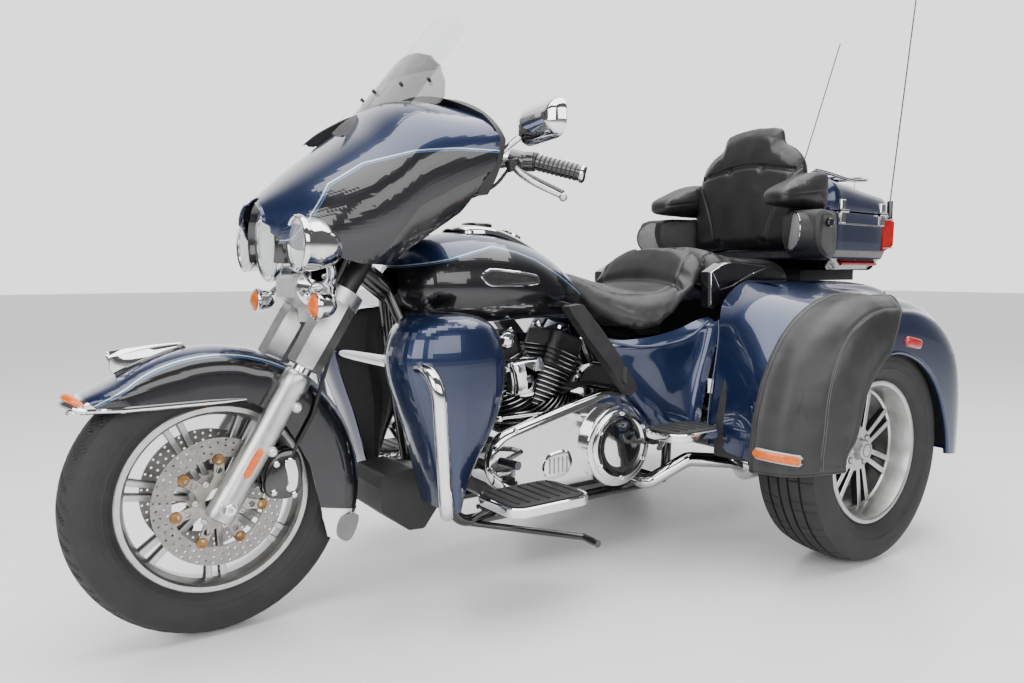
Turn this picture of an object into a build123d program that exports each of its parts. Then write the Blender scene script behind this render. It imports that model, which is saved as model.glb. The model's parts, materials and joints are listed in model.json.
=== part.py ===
"""Touring motor trike: one steered front wheel, two driven rear wheels, V-twin engine.

Millimetres, +X forward, +Y to the rider's left, +Z up. The origin is on the ground at the
centre of the whole machine's outline. Stations along the machine are distances behind the
front axle, turned into X by back().
"""

import os
from math import cos, radians, sin

from build123d import *

# Wheels and tyres
wheelbase = 1670.0
front_tyre_radius = 318.0
front_tyre_width = 130.0
front_rim_radius = 217.0
front_rim_width = 92.0
rear_tyre_radius = 320.0
rear_tyre_width = 205.0
rear_rim_radius = 208.0
rear_rim_width = 160.0
rear_wheel_offset = 575.0
rim_wall = 7.0
rim_lip = 12.0
tyre_gap = 0.5
spoke_pairs = 7
front_axle_radius = 12.5
front_hub_radius = 38.0
rear_hub_radius = 62.0
hub_clearance = 0.2
disc_radius = 146.0
disc_inner_radius = 102.0
disc_thickness = 5.0
disc_offset = 66.0
running_clearance = 0.05

# Steering and fork
rake_angle = 26.0
fork_angle = 32.0
trail = 99.0
fork_spacing = 220.0
slider_radius = 31.0
slider_length = 335.0
slider_foot = 34.0
cover_radius = 40.0
fork_tube_radius = 24.5
lower_yoke_height = 775.0
upper_yoke_height = 965.0
yoke_thickness = 34.0
yoke_depth = 96.0
stem_radius = 14.0
head_tube_radius = 33.0
yoke_clearance = 12.0
nacelle_half_width = 62.0

# Front fender
fender_half_width = 90.0
fender_wall = 3.0
fender_front_angle = 37.0
fender_rear_angle = 206.0

# Fairing, screen and lamps
fairing_half_width = 328.0
fairing_wall = 5.0
screen_base_station = 412.0
screen_base_height = 1262.0
screen_lean = 40.0
screen_curve = 430.0
screen_thickness = 4.0
screen_top = 1394.0
extension_top = 1508.0
headlamp_radius = 84.0
headlamp_ring_radius = 95.0
headlamp_ring_depth = 18.0
headlamp_height = 904.0
headlamp_face = 150.0
headlamp_back = 250.0
spot_radius = 62.0
spot_offset = 190.0
spot_height = 899.0
spot_face = 152.0
spot_depth = 70.0
lamp_bar_station = 235.0
indicator_offset = 208.0
indicator_height = 762.0
indicator_station = 210.0
indicator_radius = 33.0
lamp_clearance = 4.0

# Handlebar and mirrors
bar_radius = 12.7
grip_radius = 19.0
lever_radius = 5.0
mirror_offset = 400.0
mirror_station = 655.0
mirror_height = 1180.0

# Engine
crank_station = 895.0
crank_height = 345.0
vee_half_angle = 22.5
cylinder_radius = 76.0
core_radius = 62.0
cylinder_base = 95.0
vee_gap = 1.0
fin_count = 9
fin_thickness = 4.0
fin_pitch = 14.0
head_height = 62.0
rocker_height = 48.0
engine_half_width = 92.0
primary_outer = 195.0
primary_front_station = 735.0
primary_front_radius = 90.0
clutch_station = 1068.0
clutch_radius = 152.0
primary_bottom = 234.0
derby_radius = 104.0
derby_depth = 28.0
pipe_radius = 22.0
muffler_radius = 42.0
muffler_offset = 300.0
muffler_height = 226.0

# Frame
frame_tube_radius = 16.0
backbone_radius = 30.0
cradle_height = 168.0
cradle_offset = 110.0
guard_radius = 16.5
guard_half_width = 372.0
guard_bend = 60.0
swingarm_offset = 170.0
swingarm_radius = 22.0
pivot_station = 1345.0
pivot_height = 400.0
axle_tube_radius = 32.0
part_clearance = 6.0

# Rear body
body_half_width = 385.0
body_wall = 6.0
trunk_front = 1796.0
body_rear = 2330.0
fender_outer = 698.0
fender_round = 50.0
arch_radius = 292.0
cover_gap = 0.4
cover_thickness = 3.0
cover_rear = 1660.0
door_half_width = 330.0
door_bottom = 440.0
door_top = 720.0
door_gap = 5.0
door_thickness = 14.0
door_pin_offset = 322.0
door_pin_radius = 6.0
door_barrels = (500, 650)
plate_spacing_y = 146.0
plate_spacing_z = 70.0
plate_height = 570.0
plate_hole_radius = 3.3

# Top case
case_front = 1962.0
lid_front_gap = 6.0
case_rear = 2400.0
case_front_half_width = 292.0
case_rear_half_width = 252.0
case_floor = 872.0
case_split = 1040.0
case_lid_top = 1155.0
case_wall = 7.0
case_corner = 60.0
lid_gap = 5.0
hinge_radius = 6.0
hinge_stations = (2040, 2330)
rack_tube_radius = 7.0
rack_rise = 48.0

# Whip aerials
aerial_station = 2450.0
aerial_offset = 222.0
aerial_base_height = 1100.0
aerial_length = 800.0
aerial_radius = 2.5
left_aerial_lean = 9.0
right_aerial_lean = 24.0

# Footboards
board_front = 555.0
board_length = 240.0
board_hinge_offset = 258.0
board_outer = 440.0
board_height = 280.0
board_thickness = 18.0
small_board_front = 1075.0
small_board_length = 187.0
small_board_hinge_offset = 312.0
small_board_outer = 450.0
small_board_height = 392.0
hinge_pin_radius = 6.0
hinge_drop = 26.0

# The outline's centre sets the origin
rear_reach = aerial_station + aerial_length * sin(radians(right_aerial_lean)) + aerial_radius
front_axle_x = (rear_reach - front_tyre_radius) / 2

# Front fender's section: half width and radius about the axle
fender_rows = [(90, 226), (90, 312), (68, 344), (0, 352)]

# Side outlines: station and height
fender_cutter = [(-320, 536), (-285, 548), (60, 548), (140, 500), (205, 380), (262, 120), (0, 100), (-320, 100)]
body_outline = [
    (1000, 640), (1165, 414), (1370, 334), (1440, 334), (1470, 432), (1960, 432), (1990, 400), (2290, 400),
    (2330, 450), (2330, 740), (2275, 796), (1930, 803), (1600, 803), (1500, 760), (1420, 705), (1250, 648), (1060, 643),
]
rear_fender_outline = [
    (1275, 300), (1288, 450), (1345, 590), (1440, 694), (1560, 750), (1700, 765), (1850, 754), (1980, 708),
    (2078, 620), (2132, 500), (2150, 380), (2148, 262),
]
rear_fender_plan = [(1225, 300), (1262, 522), (1404, 760), (2085, 760), (2156, 620), (2175, 300)]
crankcase_outline = [
    (650, 330), (672, 235), (740, 192), (1250, 192), (1300, 250), (1300, 430), (1230, 478), (1060, 480), (1010, 430),
    (780, 430), (690, 420),
]
shield_outline = [
    (500, 738), (440, 722), (385, 690), (362, 650), (364, 600), (392, 500), (430, 400), (452, 310), (470, 262),
    (510, 262), (532, 330), (588, 440), (620, 520), (626, 590), (606, 660), (560, 715),
]
tinted_outline = [(238, 1150), (236, 1248), (212, 1290), (172, 1334), (118, 1370), (60, 1388), (20, screen_top)]
extension_outline = [(206, 1150), (204, 1316), (188, 1390), (150, 1448), (96, 1486), (40, 1502), (12, extension_top)]
backrest_outline = [
    (-238, 905), (-250, 1060), (-222, 1225), (-140, 1290), (-118, 1350), (118, 1350), (140, 1290), (222, 1225),
    (250, 1060), (238, 905),
]

# Fairing sections: station, half width, low, middle and high
fairing_rows = [
    (112, 90, 905, 950, 1000), (160, 172, 850, 930, 1042), (212, 232, 790, 930, 1087), (331, 287, 762, 1000, 1180),
    (430, 313, 810, 1080, 1256), (600, fairing_half_width, 910, 1130, 1256),
]
tank_rows = [
    (478, 92, 738, 800, 878), (530, 156, 702, 800, 922), (650, 168, 693, 800, 944), (780, 166, 695, 790, 936),
    (930, 142, 700, 765, 888), (1070, 85, 692, 725, 788),
]


def back(station):
    """X of a point that lies this far behind the front axle."""
    return front_axle_x - station


def at(station, y, z):
    """A point from its station, side offset and height."""
    return Vector(back(station), y, z)


front_axle = at(0, 0, front_tyre_radius)
rear_axle = at(wheelbase, 0, rear_tyre_radius)
fork_direction = Vector(-sin(radians(fork_angle)), 0, cos(radians(fork_angle)))
steer_direction = Vector(-sin(radians(rake_angle)), 0, cos(radians(rake_angle)))
steer_ground = at(-trail, 0, 0)


def along_fork(distance, y):
    """A point on a fork leg's axis, measured up from the wheel axle."""
    return front_axle + fork_direction * distance + Vector(0, y, 0)


def fork_reach(height):
    """Distance along a fork leg from the axle to this height."""
    return (height - front_axle.Z) / cos(radians(fork_angle))


def on_steering(height):
    """The point of the steering axis at this height."""
    return steer_ground + steer_direction * (height / cos(radians(rake_angle)))


def polar(radius, angle):
    """Station and height of a point around the front axle, with the angle up from straight ahead."""
    return (-radius * cos(radians(angle)), front_axle.Z + radius * sin(radians(angle)))


def side_plane(y):
    """Sketch plane at this side offset: sketch x is +X and sketch y is +Z."""
    return Plane(origin=(0, y, 0), x_dir=(1, 0, 0), z_dir=(0, -1, 0))


def cross_plane(station):
    """Sketch plane across the machine: sketch x is +Y and sketch y is +Z."""
    return Plane(origin=(back(station), 0, 0), x_dir=(0, 1, 0), z_dir=(1, 0, 0))


def wheel_plane(centre):
    """Sketch plane through a wheel's axle: sketch x is +Y and sketch y is outward."""
    return Plane(origin=centre, x_dir=(0, 1, 0), z_dir=(1, 0, 0))


def slab(points, y_low, y_high, corner=0.0, grow=0.0, mode=Mode.ADD):
    """Extrudes a side outline of station and height points from y_low to y_high."""
    with BuildSketch(side_plane(y_high)) as outline:
        Polygon(*[(back(s), z) for s, z in points], align=None)
        if corner:
            fillet(outline.vertices(), corner)
        if grow:
            offset(amount=grow, kind=Kind.INTERSECTION)
    extrude(to_extrude=outline.sketch, amount=y_high - y_low, mode=mode)


def block(s_low, s_high, y_low, y_high, z_low, z_high, mode=Mode.ADD):
    """A plain box between stations, side offsets and heights."""
    slab([(s_low, z_low), (s_high, z_low), (s_high, z_high), (s_low, z_high)], y_low, y_high, mode=mode)


def plan(points, z_low, z_high, corner=0.0, grow=0.0, mode=Mode.ADD):
    """Extrudes a plan outline of station and half width points, mirrored across the centre line."""
    with BuildSketch(Plane.XY.offset(z_low)) as outline:
        both = [(back(s), y) for s, y in points] + [(back(s), -y) for s, y in reversed(points)]
        Polygon(*both, align=None)
        if corner:
            fillet(outline.vertices(), corner)
        if grow:
            offset(amount=grow, kind=Kind.INTERSECTION)
    extrude(to_extrude=outline.sketch, amount=z_high - z_low, mode=mode)


def bar(start, end, radius, mode=Mode.ADD):
    """A round bar between two points."""
    reach = Vector(*end) - Vector(*start)
    with BuildSketch(Plane(origin=start, z_dir=reach)) as ring:
        Circle(radius)
    extrude(to_extrude=ring.sketch, amount=reach.length, mode=mode)


def tube(points, bend, radius, mode=Mode.ADD):
    """A bent round tube through the points, with one bend radius."""
    with BuildLine() as path:
        FilletPolyline(*points, radius=bend)
    wire = path.wire()
    with BuildSketch(Plane(origin=wire @ 0, z_dir=wire % 0)) as ring:
        Circle(radius)
    sweep(sections=ring.sketch, path=wire, mode=mode)


def egg(station, half_width, low, middle, high):
    """A closed section across the machine, of two half ellipses that meet at the middle height."""
    with BuildSketch(cross_plane(station)) as section:
        with BuildLine():
            EllipticalCenterArc((0, middle), half_width, high - middle, start_angle=0, arc_size=180)
            EllipticalCenterArc((0, middle), half_width, middle - low, start_angle=180, arc_size=180)
        make_face()
    return section.sketch


def egg_loft(table, mode=Mode.ADD):
    """Lofts egg sections from rows of station, half width, low, middle and high."""
    loft(sections=[egg(*row) for row in table], mode=mode)


def both_sides(points):
    """A path that runs through these points and back through their mirror images."""
    return [*points, *[Vector(p.X, -p.Y, p.Z) for p in reversed(points)]]


def write(builder, name):
    """Labels a finished piece and writes its file."""
    builder.part.label = name
    export_step(builder.part, f"parts/{name}.step")
    print(name, len(builder.part.solids()), round(builder.part.volume / 1000), "cm3")


def tyre(name, centre, radius, width, rim_radius, rim_width, crown):
    """A tyre as one revolved ring that seats between the rim's lips."""
    bead = rim_width / 2 - rim_wall - tyre_gap
    seat = rim_radius - rim_lip + tyre_gap
    bulge = rim_radius + (radius - rim_radius) * 0.42
    rows = [
        (bead, seat), (bead, rim_radius + 4), (width / 2, bulge), (width / 2 - 5, radius - crown * 1.7),
        (width * 0.36, radius - crown * 0.45), (0, radius),
    ]
    with BuildPart() as ring:
        with BuildSketch(wheel_plane(centre)):
            Polygon(*rows, *[(-y, r) for y, r in reversed(rows[:-1])], (12 - bead, seat + 8), (0, seat + 12),
                    (bead - 12, seat + 8), align=None)
        revolve(axis=Axis(centre, (0, 1, 0)))
    write(ring, name)


def rim(name, centre, radius, width, hub_radius, hub_span, spoke_span, bore):
    """A cast rim: barrel with lips, a hub and pairs of spokes."""
    barrel = radius - rim_lip
    rows = [
        (width / 2, barrel - rim_wall), (width / 2, radius), (width / 2 - rim_wall, radius),
        (width / 2 - rim_wall, barrel),
    ]
    with BuildPart() as wheel:
        with BuildSketch(wheel_plane(centre)):
            Polygon(*rows, *[(-y, r) for y, r in reversed(rows)], align=None)
        revolve(axis=Axis(centre, (0, 1, 0)))
        bar(centre + Vector(0, hub_span[0], 0), centre + Vector(0, hub_span[1], 0), hub_radius)
        with BuildSketch(side_plane(centre.Y + spoke_span[1])) as spokes:
            with Locations((centre.X, centre.Z)):
                with PolarLocations(0, spoke_pairs, start_angle=90):
                    for lean in (-1, 1):
                        with Locations(Location(((hub_radius + barrel) / 2 - 4, lean * 17), lean * 4)):
                            Rectangle(barrel - hub_radius + 6, 15)
        extrude(to_extrude=spokes.sketch, amount=spoke_span[1] - spoke_span[0])
        if bore:
            bar(centre + Vector(0, hub_span[0], 0), centre + Vector(0, hub_span[1], 0), bore, mode=Mode.SUBTRACT)
    write(wheel, name)


os.makedirs("parts", exist_ok=True)

# Wheels
disc_face = disc_offset - disc_thickness / 2
tyre("front_tyre", front_axle, front_tyre_radius, front_tyre_width, front_rim_radius, front_rim_width, 22.0)
rim("front_rim", front_axle, front_rim_radius, front_rim_width, front_hub_radius, (-disc_face, disc_face), (-13, 13),
    front_axle_radius + running_clearance)

for side, word in ((1, "left"), (-1, "right")):
    wheel_centre = rear_axle + Vector(0, side * rear_wheel_offset, 0)
    tyre(f"rear_tyre_{word}", wheel_centre, rear_tyre_radius, rear_tyre_width, rear_rim_radius, rear_rim_width, 12.0)
    rim(f"rear_rim_{word}", wheel_centre, rear_rim_radius, rear_rim_width, rear_hub_radius,
        sorted((-side * 30, side * 26)), sorted((-side * 2, side * 20)), 0)

with BuildPart() as front_discs:
    for side in (1, -1):
        low, high = sorted((side * disc_face, side * (disc_face + disc_thickness)))
        with BuildSketch(side_plane(high)) as disc:
            with Locations((front_axle.X, front_axle.Z)):
                Circle(disc_radius)
                Circle(disc_inner_radius, mode=Mode.SUBTRACT)
                Circle(front_hub_radius + 14)
                with PolarLocations((disc_inner_radius + front_hub_radius) / 2, spoke_pairs):
                    Rectangle(disc_inner_radius - front_hub_radius + 8, 20)
                Circle(front_axle_radius + 8, mode=Mode.SUBTRACT)
        extrude(to_extrude=disc.sketch, amount=disc_thickness)
write(front_discs, "front_discs")

# Fork, its lamps and its brake
leg_offset = fork_spacing / 2
cover_top = fork_reach(lower_yoke_height) - yoke_thickness / 2
leg_top = fork_reach(upper_yoke_height) + yoke_thickness / 2 + 8

with BuildPart() as fork_legs:
    for side in (1, -1):
        y = side * leg_offset
        bar(along_fork(-slider_foot, y), along_fork(slider_length, y), slider_radius)
        bar(along_fork(slider_length, y), along_fork(cover_top, y), cover_radius)
        bar(along_fork(slider_length, y), along_fork(leg_top, y), fork_tube_radius)
    bar(along_fork(0, -leg_offset), along_fork(0, leg_offset), front_axle_radius)
write(fork_legs, "fork_legs")

lamp_bar_height = headlamp_height - headlamp_radius - 6
with BuildPart() as front_lamps:
    bar(at(headlamp_face, 0, headlamp_height), at(headlamp_face + headlamp_ring_depth, 0, headlamp_height),
        headlamp_ring_radius)
    bar(at(headlamp_face, 0, headlamp_height), at(headlamp_back, 0, headlamp_height), headlamp_radius)
    bar(at(lamp_bar_station, -spot_offset, lamp_bar_height), at(lamp_bar_station, spot_offset, lamp_bar_height), 9)
    for side in (1, -1):
        spot_y = side * spot_offset
        lamp_y = side * indicator_offset
        bar(at(spot_face, spot_y, spot_height), at(spot_face + spot_depth, spot_y, spot_height), spot_radius)
        bar(at(lamp_bar_station, spot_y, lamp_bar_height - 8),
            at(lamp_bar_station - 35, spot_y, spot_height - spot_radius + 14), 8)
        bar(at(lamp_bar_station, spot_y, lamp_bar_height + 4), at(indicator_station + 20, lamp_y, indicator_height), 8)
        bar(at(indicator_station - 24, lamp_y, indicator_height), at(indicator_station + 28, lamp_y, indicator_height),
            indicator_radius)
write(front_lamps, "front_lamps")


def yoke(height):
    """A fork yoke: a plate across both legs and the stem, square to the legs."""
    plane = Plane(origin=along_fork(fork_reach(height), 0), x_dir=(0, 1, 0), z_dir=fork_direction)
    with BuildSketch(plane.offset(-yoke_thickness / 2)) as bridge:
        RectangleRounded(fork_spacing + 2 * fork_tube_radius + 34, yoke_depth, yoke_depth / 2 - 1)
    extrude(to_extrude=bridge.sketch, amount=yoke_thickness)


with BuildPart() as fork_yokes:
    yoke(lower_yoke_height)
    yoke(upper_yoke_height)
    bar(on_steering(lower_yoke_height), on_steering(upper_yoke_height), stem_radius)
    slab([(185, 832), (185, 775), (250, 735), (275, 750), (262, 790), (246, 832)], -nacelle_half_width,
         nacelle_half_width)
    add(front_lamps.part, mode=Mode.SUBTRACT)
    add(fork_legs.part, mode=Mode.SUBTRACT)
write(fork_yokes, "fork_yokes")

with BuildPart() as front_calipers:
    for side in (1, -1):
        low, high = sorted((side * (disc_offset - 13), side * (disc_offset + 37)))
        slab([polar(162, 130), polar(162, 178), polar(100, 178), polar(100, 130)], low, high, corner=12)
        low, high = sorted((side * (disc_offset - 8), side * (disc_offset + 8)))
        bar(along_fork(0, low), along_fork(0, high), disc_radius + part_clearance, mode=Mode.SUBTRACT)
    add(fork_legs.part, mode=Mode.SUBTRACT)
write(front_calipers, "front_calipers")

front_slope = radians(fender_front_angle)
fender_inner_rows = [(max(y - fender_wall, 0), r - fender_wall) for y, r in fender_rows]
with BuildPart() as front_fender:
    with BuildSketch(Plane(origin=front_axle, x_dir=(0, 1, 0), z_dir=(sin(front_slope), 0, -cos(front_slope)))):
        Polygon(*fender_rows, *[(-y, r) for y, r in reversed(fender_rows[:-1])],
                *[(-y, r) for y, r in fender_inner_rows[:-1]], *reversed(fender_inner_rows), align=None)
    revolve(axis=Axis(front_axle, (0, -1, 0)), revolution_arc=fender_rear_angle - fender_front_angle)
    slab(fender_cutter, -fender_half_width - 5, fender_half_width + 5, mode=Mode.SUBTRACT)
    add(fork_legs.part, mode=Mode.SUBTRACT)
write(front_fender, "front_fender")

# Fairing, screen, handlebar and mirrors
with BuildPart() as fairing_hull:
    egg_loft(fairing_rows)

fairing_back = [(500, 1300), (528, 1252), (578, 1208), (595, 1147), (587, 1090), (558, 1040), (526, 978), (526, 700)]
with BuildPart() as fairing:
    add(fairing_hull.part)
    egg_loft([(s + (fairing_wall if s < 600 else 1), w - fairing_wall, lo + fairing_wall, mid, hi - fairing_wall)
              for s, w, lo, mid, hi in fairing_rows], mode=Mode.SUBTRACT)
    slab([(60, 878), (200, 880), (300, 856), (358, 852), (530, 978), (640, 1000), (640, 700), (60, 700)], -350, 350,
         mode=Mode.SUBTRACT)
    slab([*fairing_back, (640, 700), (640, 1300)], -350, 350, mode=Mode.SUBTRACT)
    bar(at(60, 0, headlamp_height), at(headlamp_back + 10, 0, headlamp_height), headlamp_ring_radius + 0.5,
        mode=Mode.SUBTRACT)
    for side in (1, -1):
        bar(at(60, side * spot_offset, spot_height), at(spot_face + spot_depth + 12, side * spot_offset, spot_height),
            spot_radius + lamp_clearance, mode=Mode.SUBTRACT)
write(fairing, "fairing")

with BuildPart() as handlebar:
    half = [at(775, 405, 1070), at(690, 305, 1106), at(520, 200, 1085), at(432, 80, 1018)]
    tube(both_sides(half), 45, bar_radius)
    for side in (1, -1):
        bar(along_fork(leg_top - 18, side * 45), at(432, side * 45, 1018), 14)
        bar(at(700, side * 317, 1102), at(775, side * 405, 1070), grip_radius)
        bar(at(672, side * 284, 1104), at(700, side * 317, 1102), grip_radius + 5)
        tube([at(672, side * 300, 1096), at(640, side * 330, 1078), at(700, side * 430, 1020)], 15, lever_radius)
    add(fork_yokes.part, mode=Mode.SUBTRACT)
write(handlebar, "handlebar")

with BuildPart() as inner_fairing:
    slab([*fairing_back[:-2], (560, 1020), (590, 1020), (612, 1147), (560, 1300)], -350, 350)
    with BuildSketch(cross_plane(700)) as face:
        with BuildLine():
            EllipticalCenterArc((0, 1130), fairing_half_width - 3, 150, start_angle=0, arc_size=180)
            EllipticalCenterArc((0, 1130), fairing_half_width - 3, 214, start_angle=180, arc_size=180)
        make_face()
    extrude(to_extrude=face.sketch, amount=250, mode=Mode.INTERSECT)
    add(handlebar.part, mode=Mode.SUBTRACT)
write(inner_fairing, "inner_fairing")

lean = radians(screen_lean)
screen_axis = Vector(-sin(lean), 0, cos(lean))


def screen_sheet(curve, thickness, outline):
    """A curved sheet that leans back, cut to an outline of side offset and height points."""
    base = Plane(origin=at(screen_base_station, 0, screen_base_height), x_dir=(0, 1, 0), z_dir=screen_axis)
    with BuildSketch(base.offset(-70)) as sheet:
        with Locations((0, screen_curve)):
            Circle(curve)
            Circle(curve - thickness, mode=Mode.SUBTRACT)
        with Locations((0, screen_curve)):
            Rectangle(700, 1000, align=(Align.CENTER, Align.MIN), mode=Mode.SUBTRACT)
    extrude(to_extrude=sheet.sketch, amount=440)
    with BuildSketch(cross_plane(screen_base_station + 500)) as front:
        Polygon(*outline, *[(-y, z) for y, z in reversed(outline)], align=None)
    extrude(to_extrude=front.sketch, amount=640, mode=Mode.INTERSECT)


with BuildPart() as windscreen:
    screen_sheet(screen_curve, screen_thickness, tinted_outline)
    add(fairing_hull.part, mode=Mode.SUBTRACT)
    add(inner_fairing.part, mode=Mode.SUBTRACT)
write(windscreen, "windscreen")

with BuildPart() as screen_extension:
    screen_sheet(screen_curve - screen_thickness, screen_thickness, extension_outline)
    slab([(380, 1325), (760, 1325), (760, 1100), (380, 1100)], -300, 300, mode=Mode.SUBTRACT)
    add(fairing_hull.part, mode=Mode.SUBTRACT)
write(screen_extension, "screen_extension")

with BuildPart() as mirrors:
    for side in (1, -1):
        with BuildSketch(cross_plane(mirror_station + 15)) as glass:
            with Locations((side * mirror_offset, mirror_height)):
                RectangleRounded(165, 88, 36)
        extrude(to_extrude=glass.sketch, amount=28)
        bar(at(mirror_station - 4, side * (mirror_offset - 60), mirror_height - 20), at(615, side * 300, 1120), 8)
    add(inner_fairing.part, mode=Mode.SUBTRACT)
write(mirrors, "mirrors")

with BuildPart() as brake_hoses:
    for side in (1, -1):
        y = side * (fender_half_width + 8)
        tube([at(148, y, 392), at(212, y, 500), at(262, side * 88, 640), at(318, side * 52, 742)], 60, 4.5)
    add(front_calipers.part, mode=Mode.SUBTRACT)
    add(fork_yokes.part, mode=Mode.SUBTRACT)
write(brake_hoses, "brake_hoses")

# Frame
with BuildPart() as frame:
    head_low = on_steering(lower_yoke_height + yoke_thickness / 2 + yoke_clearance)
    head_high = on_steering(upper_yoke_height - yoke_thickness / 2 - yoke_clearance)
    bar(head_low, head_high, head_tube_radius)
    tube([on_steering(880), at(500, 0, 752), at(1010, 0, 735), at(1090, 0, 690), at(1150, 0, 560)], 40, backbone_radius)
    for side in (1, -1):
        y = side * cradle_offset
        tube([at(455, side * 16, 780), at(500, side * 78, 620), at(570, y, 260), at(600, y, cradle_height),
              at(1385, y, cradle_height), at(1400, y, 600), at(1790, y, 600)], 55, frame_tube_radius)
        bar(at(1112, 0, 640), at(1400, y, 588), frame_tube_radius)
        board_pin = board_height - hinge_drop
        small_pin = small_board_height - hinge_drop
        for station in (640, 712):
            bar(at(station, y, cradle_height), at(station, side * board_hinge_offset, board_pin), 7.5)
        bar(at(board_front + 15, side * board_hinge_offset, board_pin),
            at(board_front + board_length - 15, side * board_hinge_offset, board_pin), hinge_pin_radius)
        elbow = at(1168, side * (small_board_hinge_offset - 20), small_pin - 36)
        bar(at(1385, y, 300), elbow, 7.5)
        bar(elbow, at(1168, side * small_board_hinge_offset, small_pin), 7.5)
        bar(at(small_board_front + 12, side * small_board_hinge_offset, small_pin),
            at(small_board_front + small_board_length - 12, side * small_board_hinge_offset, small_pin),
            hinge_pin_radius)
    bar(at(1150, -cradle_offset, 560), at(1150, cradle_offset, 560), 12)
    bar(at(pivot_station, -swingarm_offset, pivot_height), at(pivot_station, swingarm_offset, pivot_height), 14)
    bar(at(pivot_station, -cradle_offset, pivot_height), at(1398, -cradle_offset, 380), 12)
    bar(at(pivot_station, cradle_offset, pivot_height), at(1398, cradle_offset, 380), 12)
    bar(at(1380, -cradle_offset, cradle_height), at(1380, cradle_offset, cradle_height), 12)
    bar(head_low, head_high, stem_radius + running_clearance, mode=Mode.SUBTRACT)
write(frame, "frame")

with BuildPart() as rear_suspension:
    hub_inner = rear_wheel_offset - 30 - hub_clearance
    bar(rear_axle + Vector(0, -hub_inner, 0), rear_axle + Vector(0, hub_inner, 0), axle_tube_radius)
    bar(rear_axle + Vector(0, -95, 0), rear_axle + Vector(0, 95, 0), 92)
    for side in (1, -1):
        y = side * swingarm_offset
        bar(at(pivot_station, y, pivot_height), rear_axle + Vector(0, y, 0), swingarm_radius)
        bar(at(pivot_station, y - 22, pivot_height), at(pivot_station, y + 22, pivot_height), 26)
        bar(at(wheelbase + 20, side * 215, rear_tyre_radius), at(wheelbase + 60, side * 215, 560), 24)
    pivot_reach = swingarm_offset + 30
    bar(at(pivot_station, -pivot_reach, pivot_height), at(pivot_station, pivot_reach, pivot_height), 14,
        mode=Mode.SUBTRACT)
write(rear_suspension, "rear_suspension")

# Engine
with BuildPart() as crankcase:
    slab(crankcase_outline, -engine_half_width, engine_half_width, corner=14)
    bar(at(900, -engine_half_width - 42, 330), at(900, -engine_half_width, 330), 105)
    for lean_side in (1, -1):
        tilt = radians(vee_half_angle) * lean_side
        axis = Vector(sin(tilt), 0, cos(tilt))
        foot = at(crank_station, 0, crank_height)
        bar(foot, foot + axis * cylinder_base, core_radius + 6)


def cylinder(name, lean_side):
    """One finned cylinder with its head and rocker box, leaning forward or back."""
    tilt = radians(vee_half_angle) * lean_side
    axis = Vector(sin(tilt), 0, cos(tilt))
    foot = at(crank_station, 0, crank_height) + axis * cylinder_base
    with BuildPart() as barrel:
        fins_top = fin_count * fin_pitch
        bar(foot, foot + axis * fins_top, core_radius)
        for i in range(fin_count):
            low = foot + axis * (i * fin_pitch + 5)
            bar(low, low + axis * fin_thickness, cylinder_radius)
        head = Plane(origin=foot + axis * fins_top, x_dir=(0, 1, 0), z_dir=axis)
        with BuildSketch(head) as core:
            RectangleRounded(150, 128, 30)
        extrude(to_extrude=core.sketch, amount=head_height)
        for i in range(4):
            with BuildSketch(head.offset(6 + i * fin_pitch)) as fin:
                RectangleRounded(176, 146, 34)
            extrude(to_extrude=fin.sketch, amount=fin_thickness)
        with BuildSketch(head.offset(head_height)) as rocker:
            RectangleRounded(150, 124, 26)
        extrude(to_extrude=rocker.sketch, amount=rocker_height)
        fillet(barrel.faces().sort_by(Axis(foot, tuple(axis)))[-1].edges(), 12)
        near, far = sorted((crank_station - lean_side * vee_gap, crank_station + lean_side * 200))
        block(near, far, -120, 120, 300, 900, mode=Mode.SUBTRACT)
    write(barrel, name)
    return barrel.part


front_cylinder = cylinder("front_cylinder", 1)
rear_cylinder = cylinder("rear_cylinder", -1)

with crankcase:
    add(front_cylinder, mode=Mode.SUBTRACT)
    add(rear_cylinder, mode=Mode.SUBTRACT)
write(crankcase, "crankcase")

with BuildPart() as primary_cover:
    with BuildSketch(side_plane(primary_outer)) as outline:
        with Locations((back(primary_front_station), crank_height - 12)):
            Circle(primary_front_radius)
        with Locations((back(clutch_station), crank_height)):
            Circle(clutch_radius)
        make_hull()
        with Locations((back(900), primary_bottom)):
            Rectangle(900, 300, align=(Align.CENTER, Align.MAX), mode=Mode.SUBTRACT)
    extrude(to_extrude=outline.sketch, amount=primary_outer - engine_half_width - 0.2)
    fillet(primary_cover.faces().sort_by(Axis.Y)[-1].edges(), 24)
    bar(at(clutch_station + 14, primary_outer - 10, crank_height - 8),
        at(clutch_station + 14, primary_outer + derby_depth - 8, crank_height - 8), derby_radius + 16)
    bar(at(clutch_station + 14, primary_outer - 10, crank_height - 8),
        at(clutch_station + 14, primary_outer + derby_depth, crank_height - 8), derby_radius)
write(primary_cover, "primary_cover")

with BuildPart() as air_cleaner:
    bar(at(crank_station, -214, 560), at(crank_station, -138, 560), 92)
    fillet(air_cleaner.faces().sort_by(Axis.Y)[0].edges(), 16)
    bar(at(crank_station, -140, 560), at(crank_station, -20, 560), 26)
    add(front_cylinder, mode=Mode.SUBTRACT)
    add(rear_cylinder, mode=Mode.SUBTRACT)
write(air_cleaner, "air_cleaner")

with BuildPart() as horn_cover:
    slab([(752, 622), (850, 622), (845, 560), (826, 488), (786, 488), (760, 560)], 98, 150, corner=10)
    fillet(horn_cover.faces().sort_by(Axis.Y)[-1].edges(), 9)
    bar(at(806, 20, 540), at(806, 100, 540), 12)
    add(front_cylinder, mode=Mode.SUBTRACT)
    add(rear_cylinder, mode=Mode.SUBTRACT)
write(horn_cover, "horn_cover")

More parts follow.
